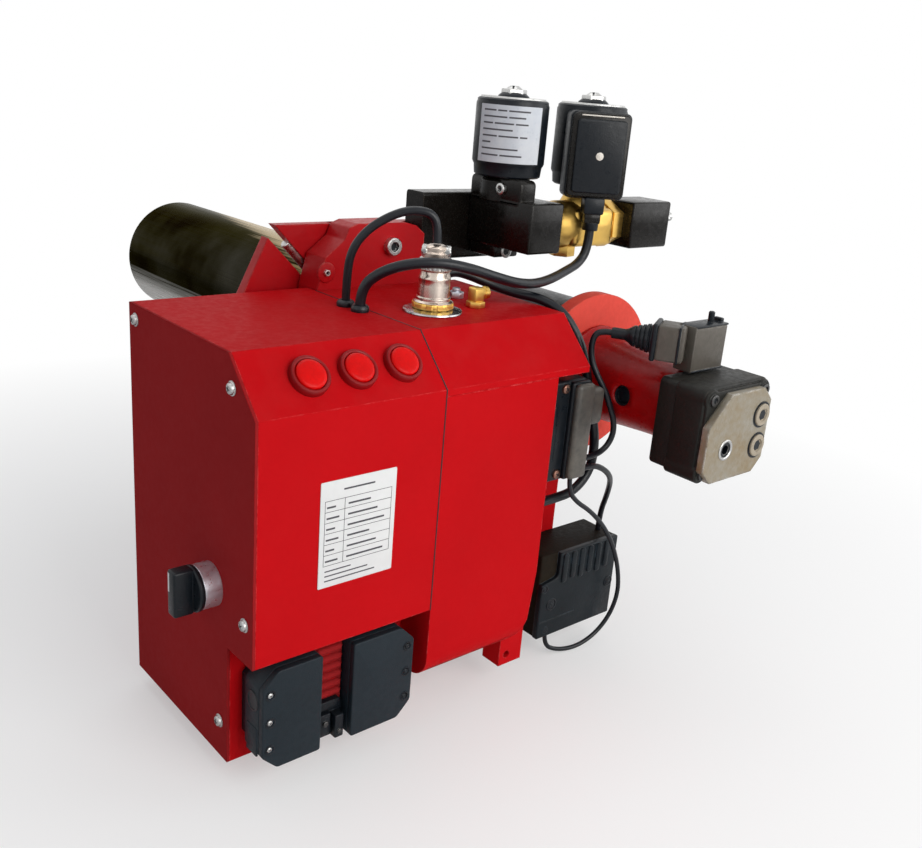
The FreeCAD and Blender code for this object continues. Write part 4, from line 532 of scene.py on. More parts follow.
class Piece:
    """One visible piece: shapes gathered in a bmesh, each with one of the piece's finishes.

    A shape that names no finish gets the piece's first one."""

    def __init__(self, name, *finishes):
        self.name, self.finishes, self.bm = name, finishes, bmesh.new()

    def take(self, part, finish=None, place=None):
        """Moves a finished shape, drawn in millimetres, into the piece."""
        if place is not None:
            bmesh.ops.transform(part, matrix=place, verts=part.verts)
        bmesh.ops.scale(part, vec=(1 / MM_IN_M,) * 3, verts=part.verts)
        index = self.finishes.index(finish) if finish else 0
        for face in part.faces:
            face.material_index = index
        mesh = bpy.data.meshes.new("shape")
        part.to_mesh(mesh)
        part.free()
        self.bm.from_mesh(mesh)
        bpy.data.meshes.remove(mesh)

    def block(self, low, high, edge=0.0, finish=None, place=None, segments=2):
        """A box between two corners with rounded edges."""
        low, high = Vector(low), Vector(high)
        part = bmesh.new()
        bmesh.ops.create_cube(part, size=1.0)
        bmesh.ops.scale(part, vec=high - low, verts=part.verts)
        bmesh.ops.translate(part, vec=(low + high) / 2, verts=part.verts)
        round_edges(part, part.edges, edge, segments)
        self.take(part, finish, place)

    def slab(self, outline, low, high, edge=0.0, finish=None, place=None, corner=0.0, segments=2):
        """A plate from an outline in its own XY, between two heights. Corners round first, then rims."""
        part = bmesh.new()
        base = part.faces.new([part.verts.new((x, y, low)) for x, y in outline])
        lifted = bmesh.ops.extrude_face_region(part, geom=[base])
        top = [item for item in lifted["geom"] if isinstance(item, bmesh.types.BMVert)]
        bmesh.ops.translate(part, vec=(0, 0, high - low), verts=top)
        bmesh.ops.recalc_face_normals(part, faces=part.faces)
        uprights = [e for e in part.edges if abs(e.verts[0].co.z - e.verts[1].co.z) > LEVEL_MATCH]
        round_edges(part, uprights, corner, 5)
        rims = [e for e in part.edges if abs(e.verts[0].co.z - e.verts[1].co.z) < LEVEL_MATCH
                and len({round(f.normal.z, 2) for f in e.link_faces}) > 1]
        round_edges(part, rims, edge, segments)
        self.take(part, finish, place)

    def lathe(self, profile, spot, direction, finish=None, segments=48, place=None):
        """Turns a profile of (radius, height) about an axis, and closes it where it is left open."""
        part = bmesh.new()
        verts = [part.verts.new((radius, 0, height)) for radius, height in profile]
        edges = [part.edges.new(pair) for pair in zip(verts, verts[1:])]
        bmesh.ops.spin(part, geom=verts + edges, cent=(0, 0, 0), axis=(0, 0, 1), angle=2 * math.pi,
                       steps=segments, use_merge=True)
        bmesh.ops.remove_doubles(part, verts=part.verts, dist=MERGE_WITHIN)
        rims = [edge for edge in part.edges if edge.is_boundary]
        if rims:
            bmesh.ops.holes_fill(part, edges=rims)
        bmesh.ops.recalc_face_normals(part, faces=part.faces)
        seat = aim(spot, direction)
        self.take(part, finish, place @ seat if place is not None else seat)

    def band(self, radius, low, high, start, sweep, spot, thick, finish):
        """A curved plate on an upright cylinder, from one angle in degrees across another."""
        part = bmesh.new()
        verts = [part.verts.new((across, 0, height))
                 for across, height in rectangle(radius, radius + thick, low, high)]
        face = part.faces.new(verts)
        bmesh.ops.spin(part, geom=[*verts, *face.edges, face], cent=(0, 0, 0), axis=(0, 0, 1),
                       angle=math.radians(sweep), steps=max(2, round(sweep / 5)))
        bmesh.ops.recalc_face_normals(part, faces=part.faces)
        self.take(part, finish, upright(spot, math.radians(start)))

    def rod(self, spot, direction, radius, reach, edge=0.0, finish=None, segments=32):
        """A round bar with its two ends chamfered."""
        profile = [(0, 0), (radius, 0), (radius, reach), (0, reach)]
        if edge > 0:
            trim = min(edge, radius * 0.9, reach * 0.45)
            profile[1:3] = [(radius - trim, 0), (radius, trim),
                            (radius, reach - trim), (radius - trim, reach)]
        self.lathe(profile, spot, direction, finish, segments)

    def hexagon(self, spot, direction, radius, reach, edge=0.3, finish=None, roll=0.0):
        corners = [math.pi * step / 3 for step in range(6)]
        outline = [(radius * math.cos(turn), radius * math.sin(turn)) for turn in corners]
        self.slab(outline, 0, reach, edge, finish, aim(spot, direction, roll))

    def cross_screw(self, spot, direction, radius, rise, finish=None, roll=0.4):
        """A domed screw head with a cross recess drawn as two black slots of painted shade."""
        dome = [(radius, 0), (radius, rise * 0.35), (radius * 0.86, rise * 0.75), (radius * 0.5, rise),
                (0, rise)]
        self.lathe(dome, spot, direction, finish, 24)
        along, across = radius * 0.55, radius * 0.1
        for turn in (0, math.pi / 2):
            self.block((-along, -across, rise * 0.7), (along, across, rise * 1.03), finish=RECESS_SHADE,
                       place=aim(spot, direction, roll + turn))

    def socket_screw(self, spot, direction, radius, rise, finish=None):
        """A cylinder-head screw with its hexagon socket, whose floor is a black hexagon of painted shade."""
        profile = [(radius, 0), (radius, rise * 0.9), (radius * 0.9, rise), (radius * 0.55, rise),
                   (radius * 0.5, rise * 0.5), (0, rise * 0.5)]
        self.lathe(profile, spot, direction, finish, 24)
        floor = Vector(spot) + Vector(direction).normalized() * rise * 0.45
        self.hexagon(floor, direction, radius * 0.52, rise * 0.1, 0, RECESS_SHADE)

    def loose(self, sharp=35):
        """The piece's object before it gets a body."""
        mesh = bpy.data.meshes.new(self.name)
        self.bm.to_mesh(mesh)
        self.bm.free()
        for finish in self.finishes:
            mesh.materials.append(MATERIALS[finish])
        mesh.polygons.foreach_set("use_smooth", [True] * len(mesh.polygons))
        mesh.set_sharp_from_angle(angle=math.radians(sharp))
        made = bpy.data.objects.new(self.name, mesh)
        bpy.context.scene.collection.objects.link(made)
        return made

    def done(self, slot, *replaced, body=CASING, sharp=35):
        """The piece's object on its body, with the nodes that it stands for hidden. The slot is not used."""
        made = self.loose(sharp)
        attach(made, body)
        if replaced:
            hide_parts(*replaced)
        return made


# Finishes of the CAD nodes, also of those that a new piece stands for

NODE_FINISH = {
    "red_powder_coat": ("cabinet_shell", "air_housing", "head_cover", "intake_duct"),
    "side_panel_painted_shade": ("cabinet_side_panel",),
    "cast_paint": ("rear_collar", "boiler_flange"),
    "bracket_lit_paint": ("pump_bracket",),
    "bell_paint": ("bell_adapter",),
    "tube_steel": ("blast_tube",),
    "lens_red": ("button_bezels", "left_button", "middle_button", "right_button"),
    "satin_chrome": ("selector_bezel", "cable_connector"),
    "plug_plastic": ("seven_pole_plug", "four_pole_plug", "servo_body", "control_box"),
    "black_plastic": ("plug_sockets", "selector_knob", "terminal_box", "pump_valve_coil", "pump_valve_plug",
                      "safety_coil", "main_coil", "main_coil_cover", "ignition_transformer", "fan_motor",
                      "pump_motor"),
    "black_enamel": ("gas_elbow", "valve_block", "inlet_block"),
    "black_rubber": ("shaft_coupling", "cable_grommets"),
    "brass": ("brass_valve_body", "connector_ring", "oil_inlet_fitting", "oil_nozzle"),
    "pump_cast": ("pump_body",),
    "pump_cover_cast": ("pump_cover",),
    "ceramic": ("electrodes",),
    "zinc_plated": ("fan_wheel", "fan_shaft", "air_damper", "pump_shaft", "coil_nuts", "safety_plunger",
                    "main_plunger", "gas_head", "oil_lance", "diffuser_disc", "screws_and_bolts"),
}


def finish_nodes():
    for finish, names in NODE_FINISH.items():
        for name in names:
            mesh = NODES[name].data
            mesh.materials.clear()
            mesh.materials.append(MATERIALS[finish])


# Cords: diameter, length and route in millimetres from the flange's centre

CORD_ROUTES = {
    "connector_cord": (6.5, 131.0, [
        (-66, -94, 43), (-66, -94, 62), (-65, -97, 82), (-56, -104, 98), (-42, -113, 109),
        (-30, -121, 114), (-18, -130, 113), (-13, -133, 104), (-13, -133, 91)]),
    "gas_valve_cord": (8, 307.1, [
        (-66, -113, 43), (-66, -113, 57), (-56, -123, 70), (-41, -138, 78), (-23, -151, 80),
        (-1, -158, 76), (25, -159, 68), (55, -154, 60), (85, -144, 56), (115, -132, 56),
        (143, -121, 59), (165, -114, 63), (174, -114.5, 75), (174, -114.5, 92)]),
    "box_cord": (8, 336.3, [
        (22, -94, 43), (22, -94, 51), (26, -97, 58), (35, -101, 61), (46, -107, 58), (60, -115, 52),
        (76, -128, 46), (90, -144, 44), (99, -162, 37), (106, -176, 19), (111, -184, -3), (114, -188, -26),
        (120, -191, -49), (125, -193, -72), (122, -194, -96), (105, -194, -112), (83, -192, -115),
        (53, -192, -115)]),
    "pump_cord": (5, 143.7, [
        (114, -204.77, 27), (110, -197.84, 27), (107, -193.2, 23), (106, -192, 13), (107, -194, 1),
        (110, -199, -10), (116, -205, -23), (120, -208, -35), (127, -208, -48), (129, -208, -60),
        (124, -207, -71), (112, -206, -77), (97, -206, -77)]),
    "servo_cord": (4, 286.2, [
        (83, -207, -90), (83, -207, -102), (95, -207, -115), (112, -207, -126), (129, -207, -141),
        (145, -206, -159), (159, -204, -180), (170, -202, -203), (175, -201, -226), (171, -198, -249),
        (157, -195, -266), (136, -193, -273), (117, -188, -273), (102, -183, -266), (102, -183, -252)]),
    "servo_lead": (5, 136.3, [
        (172, -170, -173), (172, -170, -156), (167, -179, -135), (156, -190, -116), (140, -201, -102),
        (124, -206, -91), (110, -207, -85), (97, -207, -85)]),
}


def route_cord(name, diameter, route):
    """A cord as a smooth curve through its route, round in section."""
    route = [[value / MM_IN_M for value in spot] for spot in route]
    diameter /= MM_IN_M
    curve = bpy.data.curves.new(name, "CURVE")
    curve.dimensions = "3D"
    curve.bevel_depth = diameter / 2
    curve.bevel_resolution = 5
    curve.use_fill_caps = True
    curve.resolution_u = 10
    spline = curve.splines.new("NURBS")
    spline.points.add(len(route) - 1)
    for point, spot in zip(spline.points, route):
        point.co = (*spot, 1)
    spline.order_u = 3
    spline.use_endpoint_u = True
    curve.materials.append(MATERIALS["black_rubber"])
    made = bpy.data.objects.new(name + "_line", curve)
    bpy.context.scene.collection.objects.link(made)
    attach(made, CASING)
    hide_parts(name)


# Cabinet

FRONT, RECESS_WALL, LEFT_SIDE, LID_TOP = -210.0, -176.0, -207.0, 39.0
PLATE_CORNER, PLATE_THICK = (-159.0, -122.0), 0.6
RULE_PROUD, RULE_SUNK, RULE_THIN = 0.68, 0.58, 0.35
TABLE_FOOT, TABLE_MARGIN, TABLE_ROWS, TABLE_COLUMN = 16, 3.5, 6, 19


def rating_plate():
    """A blank rating plate with a ruled table, and plain lines over and under it."""
    wide, high = sizes().label_width * MM_IN_M, sizes().label_height * MM_IN_M
    left, low = PLATE_CORNER
    made = Piece("rating_plate", "plate_white", "ruled_ink")
    made.slab(rectangle(left, left + wide, low, low + high), -FRONT, -FRONT + PLATE_THICK, 0.15,
              place=FRONTWAYS, corner=1.0)

    def rule(start, end, level, thick):
        made.block((left + start, FRONT - RULE_PROUD, low + level),
                   (left + end, FRONT - RULE_SUNK, low + level + thick), finish="ruled_ink")

    pitch = (high - 30) / TABLE_ROWS
    for row in range(TABLE_ROWS + 1):
        rule(TABLE_MARGIN, wide - TABLE_MARGIN, TABLE_FOOT + row * pitch, RULE_THIN)
    for row in range(TABLE_ROWS):
        level = TABLE_FOOT + (row + 0.35) * pitch
        rule(5, 15 - 3 * (row % 2), level, 1.3)
        rule(22, wide - 9 - 6 * (row % 3), level, 1.3)
    for edge in (TABLE_MARGIN, TABLE_COLUMN, wide - TABLE_MARGIN - RULE_THIN):
        rule(edge, edge + RULE_THIN, TABLE_FOOT, 0.3 + TABLE_ROWS * pitch)
    for row, reach in enumerate((26, 40, 46)):
        rule(5, reach, 11.5 - row * 3.6, 0.9)
    rule(18, wide - 18, high - 8, 1.2)
    made.done("grey_plastic")


LOUVRES, LOUVRE_TOP = 6, -181.5


def recess_louvres():
    """Red louvred strip between the plugs, over the black latch of the sockets."""
    # The louvres take the side panel's darker red, painted shade of the recess
    made = Piece("recess_louvres", "side_panel_painted_shade")
    made.block((-150.6, -196, -227), (-126.4, RECESS_WALL, -177.5), 1.0)
    for row in range(LOUVRES):
        level = LOUVRE_TOP - row * sizes().louvre_pitch * MM_IN_M
        made.rod((-150, -196.4, level), X, 2.7, 23, 2.2, segments=20)
    made.done("red_paint")
    latch = Piece("socket_latch", "black_plastic", "black_oxide")
    latch.block((-151, -198, -254), (-126, RECESS_WALL, -226), 1.2)
    latch.block((-149, -203, -248), (-138.5, -196, -231), 1.0)
    latch.block((-136.5, -206, -252), (-129, -196, -233), 1.0)
    latch.rod((-143.5, -202.5, -238), -Y, 2.2, 2.4, 0.4, "black_oxide")
    latch.rod((-133, -205.5, -246), -Y, 1.8, 2.0, 0.4, "black_oxide")
    latch.block((-147, -201, -229), (-130, -190, -222), 0.8)
    latch.done("black_plastic")


PANEL_SCREWS = ((-38.8, 28.2), (-181.2, 17.4), (-199.2, -139.2), (-165.2, -232.2))
PLUG_SCREWS = ((-192.5, "zinc_plated"), (-77.5, "black_plastic"))
PLUG_SCREW_LEVELS = (-235.6, -214.0, -192.4)
BOX_SCREW_LEVELS = (-87, -15)
COVER_FACE = -306
PORT_PLUGS = ((185.5, COVER_FACE, -22), (185.5, COVER_FACE, -47.5))
HEX_BOLT = (37, -101)
SLIT_MIDDLE, SLIT_SCREW = (-51.1, -5, 56.4), 44


def case_screws():
    """All screws and bolts that show: domed, recessed and socket heads, and the pump's port plugs."""
    made = Piece("case_screws", "zinc_plated", "black_plastic", "satin_chrome", "port_plug_grey",
                 "reddish_brown_steel")
    head = sizes().screw_head * MM_IN_M
    for across, level in PANEL_SCREWS:
        made.lathe([(head + 0.9, 0), (head + 0.9, 0.5), (head, 0.7)], (LEFT_SIDE, across, level), -X)
        made.cross_screw((LEFT_SIDE - 0.5, across, level), -X, head, 2.6, roll=0.3 + across)
    for x, finish in PLUG_SCREWS:
        for level in PLUG_SCREW_LEVELS:
            # The black cup round each plug screw is painted shade of its counterbore
            made.lathe([(3.9, 0), (3.9, 0.25), (2.9, 0.3), (2.6, 0.1), (0, 0.1)], (x, FRONT, level), -Y,
                       "black_plastic", 24)
            made.cross_screw((x - 0.4, FRONT - 0.1, level + 0.3), -Y, 1.9, 0.7, finish)
    for level in BOX_SCREW_LEVELS:
        made.cross_screw((71, -202, level), -Y, 4, 2.2, "reddish_brown_steel", level)
    for spot in PORT_PLUGS:
        made.lathe([(9, 0), (9, 1.5), (8.3, 2.0), (5.4, 2.0), (5.0, 0.9), (0, 0.9)], spot, -Y,
                   "port_plug_grey", 40)
        # Black hexagon: painted shade of the port plug's socket
        made.hexagon(Vector(spot) - Y * 0.85, -Y, 4.4, 0.25, 0, "black_plastic", 0.2)
    made.socket_screw((100.5, -77, 123), -X, 5, 3.4)
    made.socket_screw((14.3, -40, 71.8), -Y, 7.5, 6)
    made.hexagon((*HEX_BOLT, LID_TOP), Z, 6.4, 5.5, 0.6, "satin_chrome", 0.35)
    made.rod((*HEX_BOLT, LID_TOP + 5.5), Z, 3.4, 3, 0.8, "satin_chrome")
    along = Vector((-1, 0, 1)).normalized()
    made.rod(Vector(SLIT_MIDDLE) - along * SLIT_SCREW / 2, along, 4.2, SLIT_SCREW, 0.6)
    made.done("zinc_steel", "screws_and_bolts")


BUTTONS = ((-160.0, "left"), (-123.0, "middle"), (-86.0, "right"))
CHAMFER_SPOT = (-193.0, 21.5)
CHAMFER_OUTWARD = (0, -0.717, 0.697)


def reset_buttons():
    """Red collars on the chamfer, and a lens in each that moves with its push."""
    collars = Piece("button_collars", "bezel_red")
    for x, side in BUTTONS:
        spot = (x, *CHAMFER_SPOT)
        collars.lathe([(10.95, -6), (11.05, -6), (11.05, 0), (14.2, 0), (13.9, 4.2), (13.3, 5.1), (12.2, 5.3),
                       (11.3, 4.8), (10.95, 4.0), (10.95, -6)], spot, CHAMFER_OUTWARD, segments=64)
        lens = Piece(side + "_lens", "lens_red")
        lens.lathe([(10.7, -2), (10.7, 5.0), (10.2, 5.8), (8.4, 6.2), (6, 6.4), (3, 6.5), (0, 6.5)], spot,
                   CHAMFER_OUTWARD, segments=64)
        lens.done("lens_red", side + "_button", body=side + "_push", sharp=50)
    collars.done("bezel_red", "button_bezels")


SELECTOR_AXIS = (-154.3, -128.7)
GRIP_HALF_WIDE, GRIP_HALF_HIGH = 5.2, 16.6


def selector_switch():
    """Satin collar of the selector, and its black turning grip with a white index line."""
    collar = Piece("selector_collar", "satin_chrome")
    spot = (LEFT_SIDE, *SELECTOR_AXIS)
    collar.lathe([(10, 0), (15.8, 0), (15.8, 12.2), (15.3, 12.8), (10, 12.8), (10, 0)], spot, -X, segments=96)
    collar.done("chrome", "selector_bezel")
    grip = Piece("selector_grip", "black_plastic", "plate_white")
    grip.lathe([(14.6, 12.4), (16.2, 12.6), (16.4, 13.2), (16.4, 15.2), (15.6, 16.2), (0, 16.6)], spot, -X,
               segments=64)
    y, z = SELECTOR_AXIS
    grip.block((-236.8, y - GRIP_HALF_WIDE, z - GRIP_HALF_HIGH),
               (-222.5, y + GRIP_HALF_WIDE, z + GRIP_HALF_HIGH), 1.6, segments=3)
    grip.block((-237, y + 1.8, z + 1.0), (-236.6, y + 3.6, z + 14.8), finish="plate_white")
    grip.done("black_plastic", "selector_knob", body="selector")


PLUGS = (("seven_pole_plug", -198.5, -151.5, True), ("four_pole_plug", -125.5, -71.5, False))
PLUG_BACK, PLUG_LOW, PLUG_HIGH = 186.0, -252.5, -175.5
PLUG_CLIP, PLUG_LID = 12.0, 5.6


def plug_outline(left, right, clips_left, inset=0.0):
    """A plug's front with its two outer corners clipped."""
    low, high, first, last = PLUG_LOW + inset, PLUG_HIGH - inset, left + inset, right - inset
    if clips_left:
        return [(first + PLUG_CLIP, low), (last, low), (last, high), (first + PLUG_CLIP, high),
                (first, high - PLUG_CLIP), (first, low + PLUG_CLIP)]
    return [(first, low), (last - PLUG_CLIP, low), (last, low + PLUG_CLIP), (last, high - PLUG_CLIP),
            (last - PLUG_CLIP, high), (first, high)]


def wiring_plugs():
    """The two moulded plugs: body, parting groove and lid, and the left one's knockout and rib."""
    for name, left, right, clips_left in PLUGS:
        made = Piece(name + "_moulding", "plug_plastic", "black_plastic", "black_rubber")
        whole, inner = plug_outline(left, right, clips_left), plug_outline(left, right, clips_left, 0.35)
        groove = -FRONT - PLUG_LID
        made.slab(whole, PLUG_BACK, groove, 0.25, place=FRONTWAYS, corner=2.0)
        made.slab(inner, groove - 0.1, groove + 0.4, finish="black_plastic", place=FRONTWAYS, corner=1.8)
        made.slab(whole, groove + 0.3, -FRONT, 0.8, place=FRONTWAYS, corner=2.0, segments=3)
        if clips_left:
            made.lathe([(7.5, -1), (7.5, 0.6), (6.4, 0.8), (6.0, 0.1), (0, 0.1)], (left, -196.5, -201), -X,
                       "black_rubber", 32)
            made.block((left - 0.7, -203, -243), (left + 1, -189, -221), 0.6)
        made.done("blue_grey_plastic", name)


# Gas valves

SAFETY_AXIS, MAIN_AXIS = (118.0, -62.0), (192.0, -85.0)
COIL_RADIUS, COIL_TOP = 31.0, 197.0
COIL_BOTTOMS = {"safety_coil": (SAFETY_AXIS, 132.0), "main_coil": (MAIN_AXIS, 127.0)}
LABEL_START, LABEL_SWEEP, LABEL_LOW, LABEL_HIGH = 172.0, 107.0, 144.5, 190.5
LABEL_LINES = ((22, 14, 34), (40, 26), (18, 30, 20), (50,), (26, 30, 12), (16,), (60,), (30, 34))
LINE_PITCH, LINE_THICK, LINE_GAP = 5.1, 1.3, 3


def solenoid_coils():
    """Two round coils with a steel washer on top, one with a blank silver label."""
    for name, (axis, bottom) in COIL_BOTTOMS.items():
        made = Piece(name + "_winding", "black_plastic", "coil_frame_steel", "label_silver", "ruled_ink")
        spot = (*axis, 0)
        made.lathe([(8, bottom), (27, bottom), (28.6, bottom + 1.2), (29.4, bottom + 9),
                    (30.4, bottom + 10.5), (31, bottom + 12), (31, COIL_TOP - 6), (30.2, COIL_TOP - 4.2),
                    (30.2, COIL_TOP - 2.6), (28.6, COIL_TOP - 1.4), (8, COIL_TOP - 1.4)], spot, Z,
                   segments=96)
        made.lathe([(9, COIL_TOP - 2), (27.6, COIL_TOP - 2), (27.9, COIL_TOP - 1.2), (27.4, COIL_TOP),
                    (9, COIL_TOP)], spot, Z, "coil_frame_steel", 96)
        if name == "safety_coil":
            made.band(COIL_RADIUS, LABEL_LOW, LABEL_HIGH, LABEL_START, LABEL_SWEEP, spot, 0.35,
                      "label_silver")
            for row, line in enumerate(LABEL_LINES):
                level, start = LABEL_HIGH - 5 - row * LINE_PITCH, LABEL_START + 8
                for share in line:
                    made.band(COIL_RADIUS + 0.3, level, level + LINE_THICK, start, share, spot, 0.12,
                              "ruled_ink")
                    start += share + LINE_GAP
        made.done("black_plastic", name)
    nuts = Piece("coil_nut_set", "black_plastic", "zinc_plated")
    for axis in (SAFETY_AXIS, MAIN_AXIS):
        spot = (*axis, COIL_TOP)
        nuts.lathe([(8.5, 0), (13.4, 0), (13.0, 1.0), (10, 3.4), (8.5, 3.6)], spot, Z)
        nuts.hexagon((*axis, COIL_TOP + 1), Z, 11, 5.4, 0.8, "zinc_plated", 0.5)
        nuts.lathe([(7.5, 6), (5.6, 7.6), (3.4, 9), (0, 9)], spot, Z, "zinc_plated", 32)
        nuts.block((-6, -0.9, 8.4), (6, 0.9, 9.0), place=upright(spot, 0.6))
    nuts.done("zinc_steel", "coil_nuts")


COVER_MIDDLE, COVER_TURN = (175.65, -110.2, 0.0), math.radians(-33.0)
COVER_SCREW = (0, -12, 155)
CORD_AXIS = (174, -114.5, 0)


def coil_cover():
    """The second coil's plug: rounded cover with a raised panel, centre screw and stepped gland."""
    place = upright(COVER_MIDDLE, COVER_TURN)
    flat = place @ FRONTWAYS
    made = Piece("coil_plug_cover", "black_plastic", "ceramic", "black_enamel")
    made.slab(rectangle(-26.5, 26.5, 119, 191), -12, 6.5, 1.2, place=flat, corner=5.0)
    made.slab(rectangle(-25.6, 25.6, 120, 190), 6.4, 9.6, 2.4, "black_enamel", flat, 5.5, 3)
    made.slab(rectangle(-21.5, 21.5, 124, 185), 9.4, 12, 1.2, place=flat, corner=3.0, segments=3)
    # A thin light strip under the cover's top edge: painted highlight
    made.slab(rectangle(-18.5, 18.5, 187.2, 188.4), 8.9, 9.8, 0.3, "ceramic", flat)
    made.lathe([(3.4, 0), (3.4, 0.5), (2.6, 0.9), (0, 0.9)], COVER_SCREW, -Y, "ceramic", 24, place)
    made.block((-8, -11, 106), (10, 3, 120), 1.5, place=place)
    made.block((-6.5, -10.2, 98), (8, 1.6, 107), 1.2, "black_enamel", place)
    made.lathe([(6.5, 92), (6.8, 92.6), (6.8, 98.5)], CORD_AXIS, Z, segments=32)
    made.done("black_plastic", "main_coil_cover")


TEST_PLUG = (117, -71, 68.5)
GAS_LINE = (139, -85, 93)
DRAIN_PLUG = (172, -85, 65)
INLET_FACE, GAS_PORT, NIPPLE = 283, (-95, 89), (-107, 100)


def valve_blocks():
    """The enamelled block under the first valve, the brass body under the second, and the inlet block."""
    made = Piece("valve_block_casting", "black_enamel", "zinc_plated", "black_plastic")
    made.block((100.5, -115, 73), (139, -36, 115), 2.2, segments=3)
    made.slab(rectangle(-100, -36, 110, 132), 100.5, 118, 1.6, place=SIDEWAYS, corner=5.0)
    made.lathe([(22, 112), (22, 128), (19, 132), (8, 132.5), (8, 200)], (*SAFETY_AXIS, 0), Z)
    made.block((103.5, -71, 63), (131.5, -37, 74), 2.0)
    made.lathe([(6, 0), (6, 0.8), (5.2, 1.2), (4.2, 1.2), (4.0, 0.2), (0, 0.2)], TEST_PLUG, -Y,
               "zinc_plated", 24)
    # Black hexagon: painted shade of the test plug's socket
    made.hexagon(Vector(TEST_PLUG) - Y * 0.25, -Y, 3.6, 0.2, 0, "black_plastic", 0.3)
    made.done("black_gloss", "valve_block")
    brass = Piece("brass_valve_casting", "brass", "black_plastic")
    brass.lathe([(14, 0), (20, 0), (20.6, 0.8), (20.6, 9), (19.6, 10), (19.2, 14), (20.8, 20), (20.8, 68),
                 (20, 72), (17.4, 76), (17.4, 80)], GAS_LINE, X, segments=64)
    brass.hexagon(Vector(GAS_LINE) + X * 78, X, 22, 13, 1.2, roll=0.5)
    brass.block((166, -105.6, 75), (216, -66, 108), 5.0, segments=3)
    brass.lathe([(20, 100), (20, 112), (17, 118), (16, 127), (8, 128), (8, 200)], (*MAIN_AXIS, 0), Z)
    brass.hexagon(DRAIN_PLUG, Z, 12, 10, 0.8, roll=0.2)
    # Black disc: painted shade of the drain plug's socket
    brass.rod(Vector(DRAIN_PLUG) + Z * 0.2, -Z, 6.5, 0.3, 0, "black_plastic")
    brass.done("brass", "brass_valve_body")
    inlet = Piece("inlet_casting", "black_enamel", "zinc_plated", "black_plastic")
    inlet.block((230, -115, 73), (INLET_FACE, -75, 115), 2.4, segments=3)
    inlet.lathe([(6.5, -12), (6.5, 9.9), (8.4, 9.9), (9, 9.2), (9, 3.5), (11.5, 3.2), (11.5, 0.2),
                 (11.5, -1)], (INLET_FACE, *GAS_PORT), X, "zinc_plated")
    # Black disc at the bottom of the gas port: painted shade of the bore
    inlet.rod((INLET_FACE - 11.8, *GAS_PORT), X, 6.6, 0.4, 0, "black_plastic")
    inlet.hexagon((INLET_FACE, *NIPPLE), X, 6.2, 4, 0.5, "zinc_plated", 0.2)
    inlet.rod((INLET_FACE + 3.5, *NIPPLE), X, 4.2, 6, 0.7, "zinc_plated")
    inlet.done("black_gloss", "inlet_block")


# Oil pump

PUMP_CORNERS = ((127, -4), (193, -4), (126, -63), (193, -63))
OIL_PORT = (144, COVER_FACE, -44.5)


def oil_pump():
    """Pump casting with its stepped sides and corner screws, and the rings on its cover."""
    made = Piece("pump_casting", "pump_cast", "black_oxide", "black_plastic")
    made.slab(rectangle(121, 200, -68.5, 3.5), 253, 271, 1.2, place=FRONTWAYS, corner=5.0)
    made.slab(rectangle(119, 201, -70, 5), 270, 297.5, 1.8, place=FRONTWAYS, corner=7.0, segments=3)
    made.slab(rectangle(120.5, 198, -66, 2), 297, 299.9, 0.8, place=FRONTWAYS, corner=9.0)
    for x, level in PUMP_CORNERS:
        made.lathe([(8, -28), (8, 0.6), (7.2, 1.6), (0, 1.6)], (x, -298.2, level), -Y, segments=32)
        made.socket_screw((x, -299.6, level), -Y, 4.6, 2.6, "black_oxide")
    made.block((150, -262, 4), (166, -256, 6.2), 0.8)
    made.done("brown_cast", "pump_body")
    trim = Piece("pump_cover_trim", "zinc_plated", "black_plastic")
    trim.lathe([(6.2, -1), (8.4, -1), (8.4, 0.5), (7.8, 0.9), (6.8, 0.9), (6.2, 0.4), (6.2, -1)],
               OIL_PORT, -Y, segments=40)
    # Black rings round the port plugs: painted shade of their grooves
    for spot in PORT_PLUGS:
        trim.lathe([(10.8, 0), (10.8, 0.35), (9.1, 0.35)], spot, -Y, "black_plastic", 40)
    # Black lining and disc in the oil port: painted shade of the bore
    for lining in ([(4.1, -1), (6.3, -1), (6.3, 0.3), (4.1, 0.1), (4.1, -1)],
                   [(0, -5.8), (3.92, -5.8), (3.92, -0.2), (3.72, -0.2), (3.72, -5.6), (0, -5.6)]):
        trim.lathe(lining, OIL_PORT, -Y, "black_plastic", 40)
    trim.done("brown_cast")


PLUG_TIP, PLUG_TURN = (114.0, -204.77, 27.0), math.radians(-60.0)
BOOT_RIBS, RIB_PITCH = 4, 3.6


